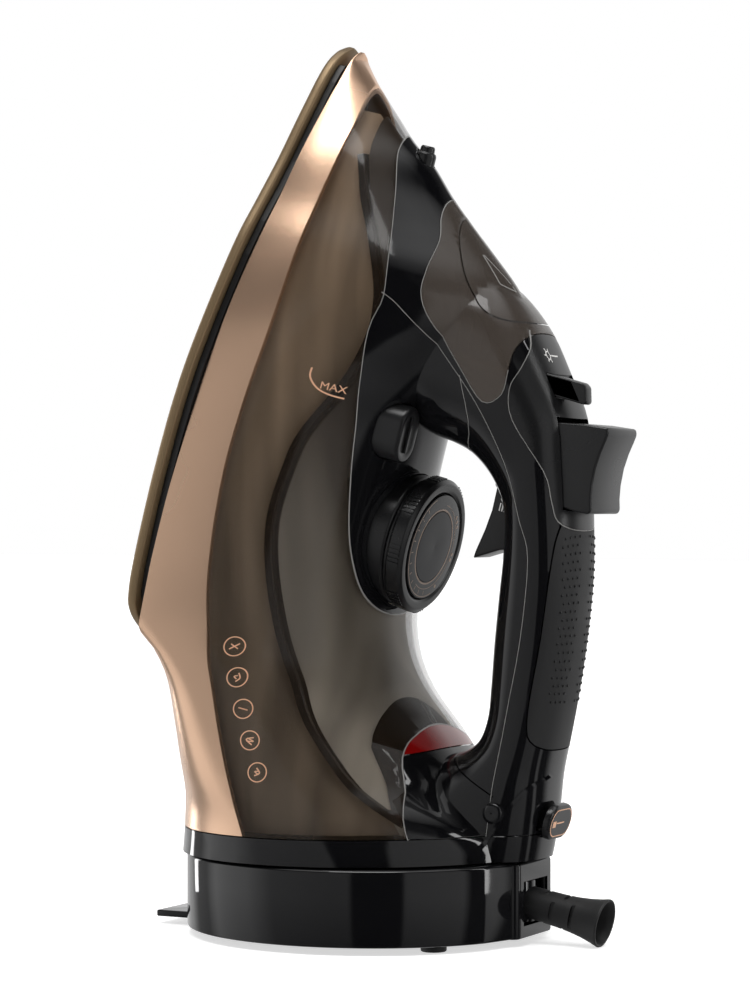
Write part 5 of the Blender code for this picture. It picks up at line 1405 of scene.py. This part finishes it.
def line_shape(path, width, steps=6):
    return (beside(smooth_path([Vector(p) for p in path], steps), width), False)


def moved(path, centre):
    return [(centre[0] + u, centre[1] + h) for u, h in path]


tank = casing["water_tank"]
BADGES = table(2, 114, 39.1, 105, 43.4, 96, 48.5, 87, 53.5, 78, 58.9)
GLYPHS = (
    [(-0.0012, -0.0012), (0.0012, 0.0012)], [(-0.0014, 0), (0, 0.0009), (0.0014, 0)], [(0, -0.0015), (0, 0.0015)],
    [(-0.0012, 0.001), (0, -0.0012), (0.0012, 0.001)], [(-0.0013, -0.0006), (0, 0.0008), (0.0013, -0.0006)],
)
badges = []
for centre, glyph in zip(BADGES, GLYPHS):
    badges.append(ring_shape(centre, 0.0032, 0.00285))
    badges.append(line_shape(moved(glyph, centre), 0.0004))
    badges.append(line_shape(moved([(u * 0.4, -h) for u, h in glyph], centre), 0.00035))
level_line = line_shape(table(2, 206.5, 38.6, 203.5, 38.9, 200.6, 41.5, 199.3, 45, 199, 49.2), 0.0005)
fit(dropped("tank_marks", badges + [level_line], [tank]), "water_tank", "print_rose", stands=False)


def word(name, text, centre, height, target):
    """A short word as a mesh, laid on the skin with its letters reading along the iron's width."""
    data = bpy.data.curves.new(name, "FONT")
    data.body, data.size, data.align_x, data.resolution_u = text, height, "CENTER", 4
    curve = add_object(name, data)
    graph = bpy.context.evaluated_depsgraph_get()
    mesh = bpy.data.meshes.new_from_object(curve.evaluated_get(graph))
    bpy.data.objects.remove(curve)
    shape = bmesh.new()
    shape.from_mesh(mesh)
    for corner in shape.verts:
        start = IRON_PLACE @ stretch(centre[0] + corner.co.y, 0.1, centre[1] + corner.co.x)
        corner.co = target.ray_cast(start, SIDEWAYS, distance=1)[1] - SIDEWAYS * PRINT_LIFT
    extra = bmesh.ops.extrude_face_region(shape, geom=shape.faces[:])
    for item in extra["geom"]:
        if isinstance(item, bmesh.types.BMVert):
            item.co += SIDEWAYS * 2 * PRINT_LIFT
    bmesh.ops.recalc_face_normals(shape, faces=shape.faces)
    return shaped(name, shape, mesh)


fit(word("fill_word", "MAX", (0.2006, 0.0458), 0.0034, tank), "water_tank", "print_rose", stands=False)


# %% Icons on the trigger and the panel, and the arch on the rear
STEAM_ICON = [ring_shape((0.1788, 0.098), 0.00125, 0.0009)]
for across in (0.0971, 0.098, 0.0989):
    STEAM_ICON.append(line_shape([(0.1772, across), (0.1746, across)], 0.0004))
fit(dropped("trigger_icon", STEAM_ICON, [trigger]), "steam_trigger", "print_white", stands=False)
ICON_CENTRE = Vector((0.2274, 0.0055))
PANEL_ICON = [ring_shape(ICON_CENTRE, 0.0013, 0.00095), line_shape([(0.2274, 0.0032), (0.2274, -0.0015)], 0.0004)]
for turn in range(30, 390, 60):
    spoke = Vector((math.cos(math.radians(turn)), math.sin(math.radians(turn))))
    PANEL_ICON.append(line_shape([ICON_CENTRE + spoke * reach for reach in (0.00125, 0.0021)], 0.00035))
front_skins = [casing[name] for name in ("control_panel", "front_window", "upper_housing", "fill_door")]
fit(dropped("panel_icon", PANEL_ICON, front_skins, above=True), "control_panel", "print_white", stands=False)
# The door's notch is outlined in light grey, a painted highlight along its edge.
NOTCH = line_shape(table(2, 253.5, 5.2, 246.6, 6.6, 245.6, 6, 244.6, 2.2, 245.2, 1.6, 253.5, 4.8), 0.00035, 3)
fit(dropped("door_notch", [NOTCH], front_skins, above=True), "fill_door", "painted_seam_highlight", stands=False)
arch = line_shape(table(2, 60, 124, 70, 125.5, 79, 128, 87, 131, 93, 134, 97, 137), 0.0011)
rear_skins = list(casing.values())
fit(dropped("rear_arch", [arch], rear_skins, 0.0004), "handle_frame", "polished_black", stands=False)
BOSS_SPOT = (0.082, 0.126)
boss_start = IRON_PLACE @ stretch(BOSS_SPOT[0], 0.1, BOSS_SPOT[1])
boss_hits = [skin.ray_cast(boss_start, SIDEWAYS) for skin in rear_skins]
boss_place = min((place for hit, place, _, _ in boss_hits if hit), key=lambda place: place.y)
print("boss at", [round(v * 1000, 1) for v in boss_place])
boss_profile = rounded(table(2, 0.01, -2, 3.4, -2, 3.4, 1.4, 2.4, 1.9, 0.01, 1.9), 0.0005)
boss = turned("rear_boss", boss_profile, boss_place, (0, -1, 0), 48, hollow=True)
fit(boss, "handle_frame", "polished_black", stands=False)
print("marks:", len(badges))
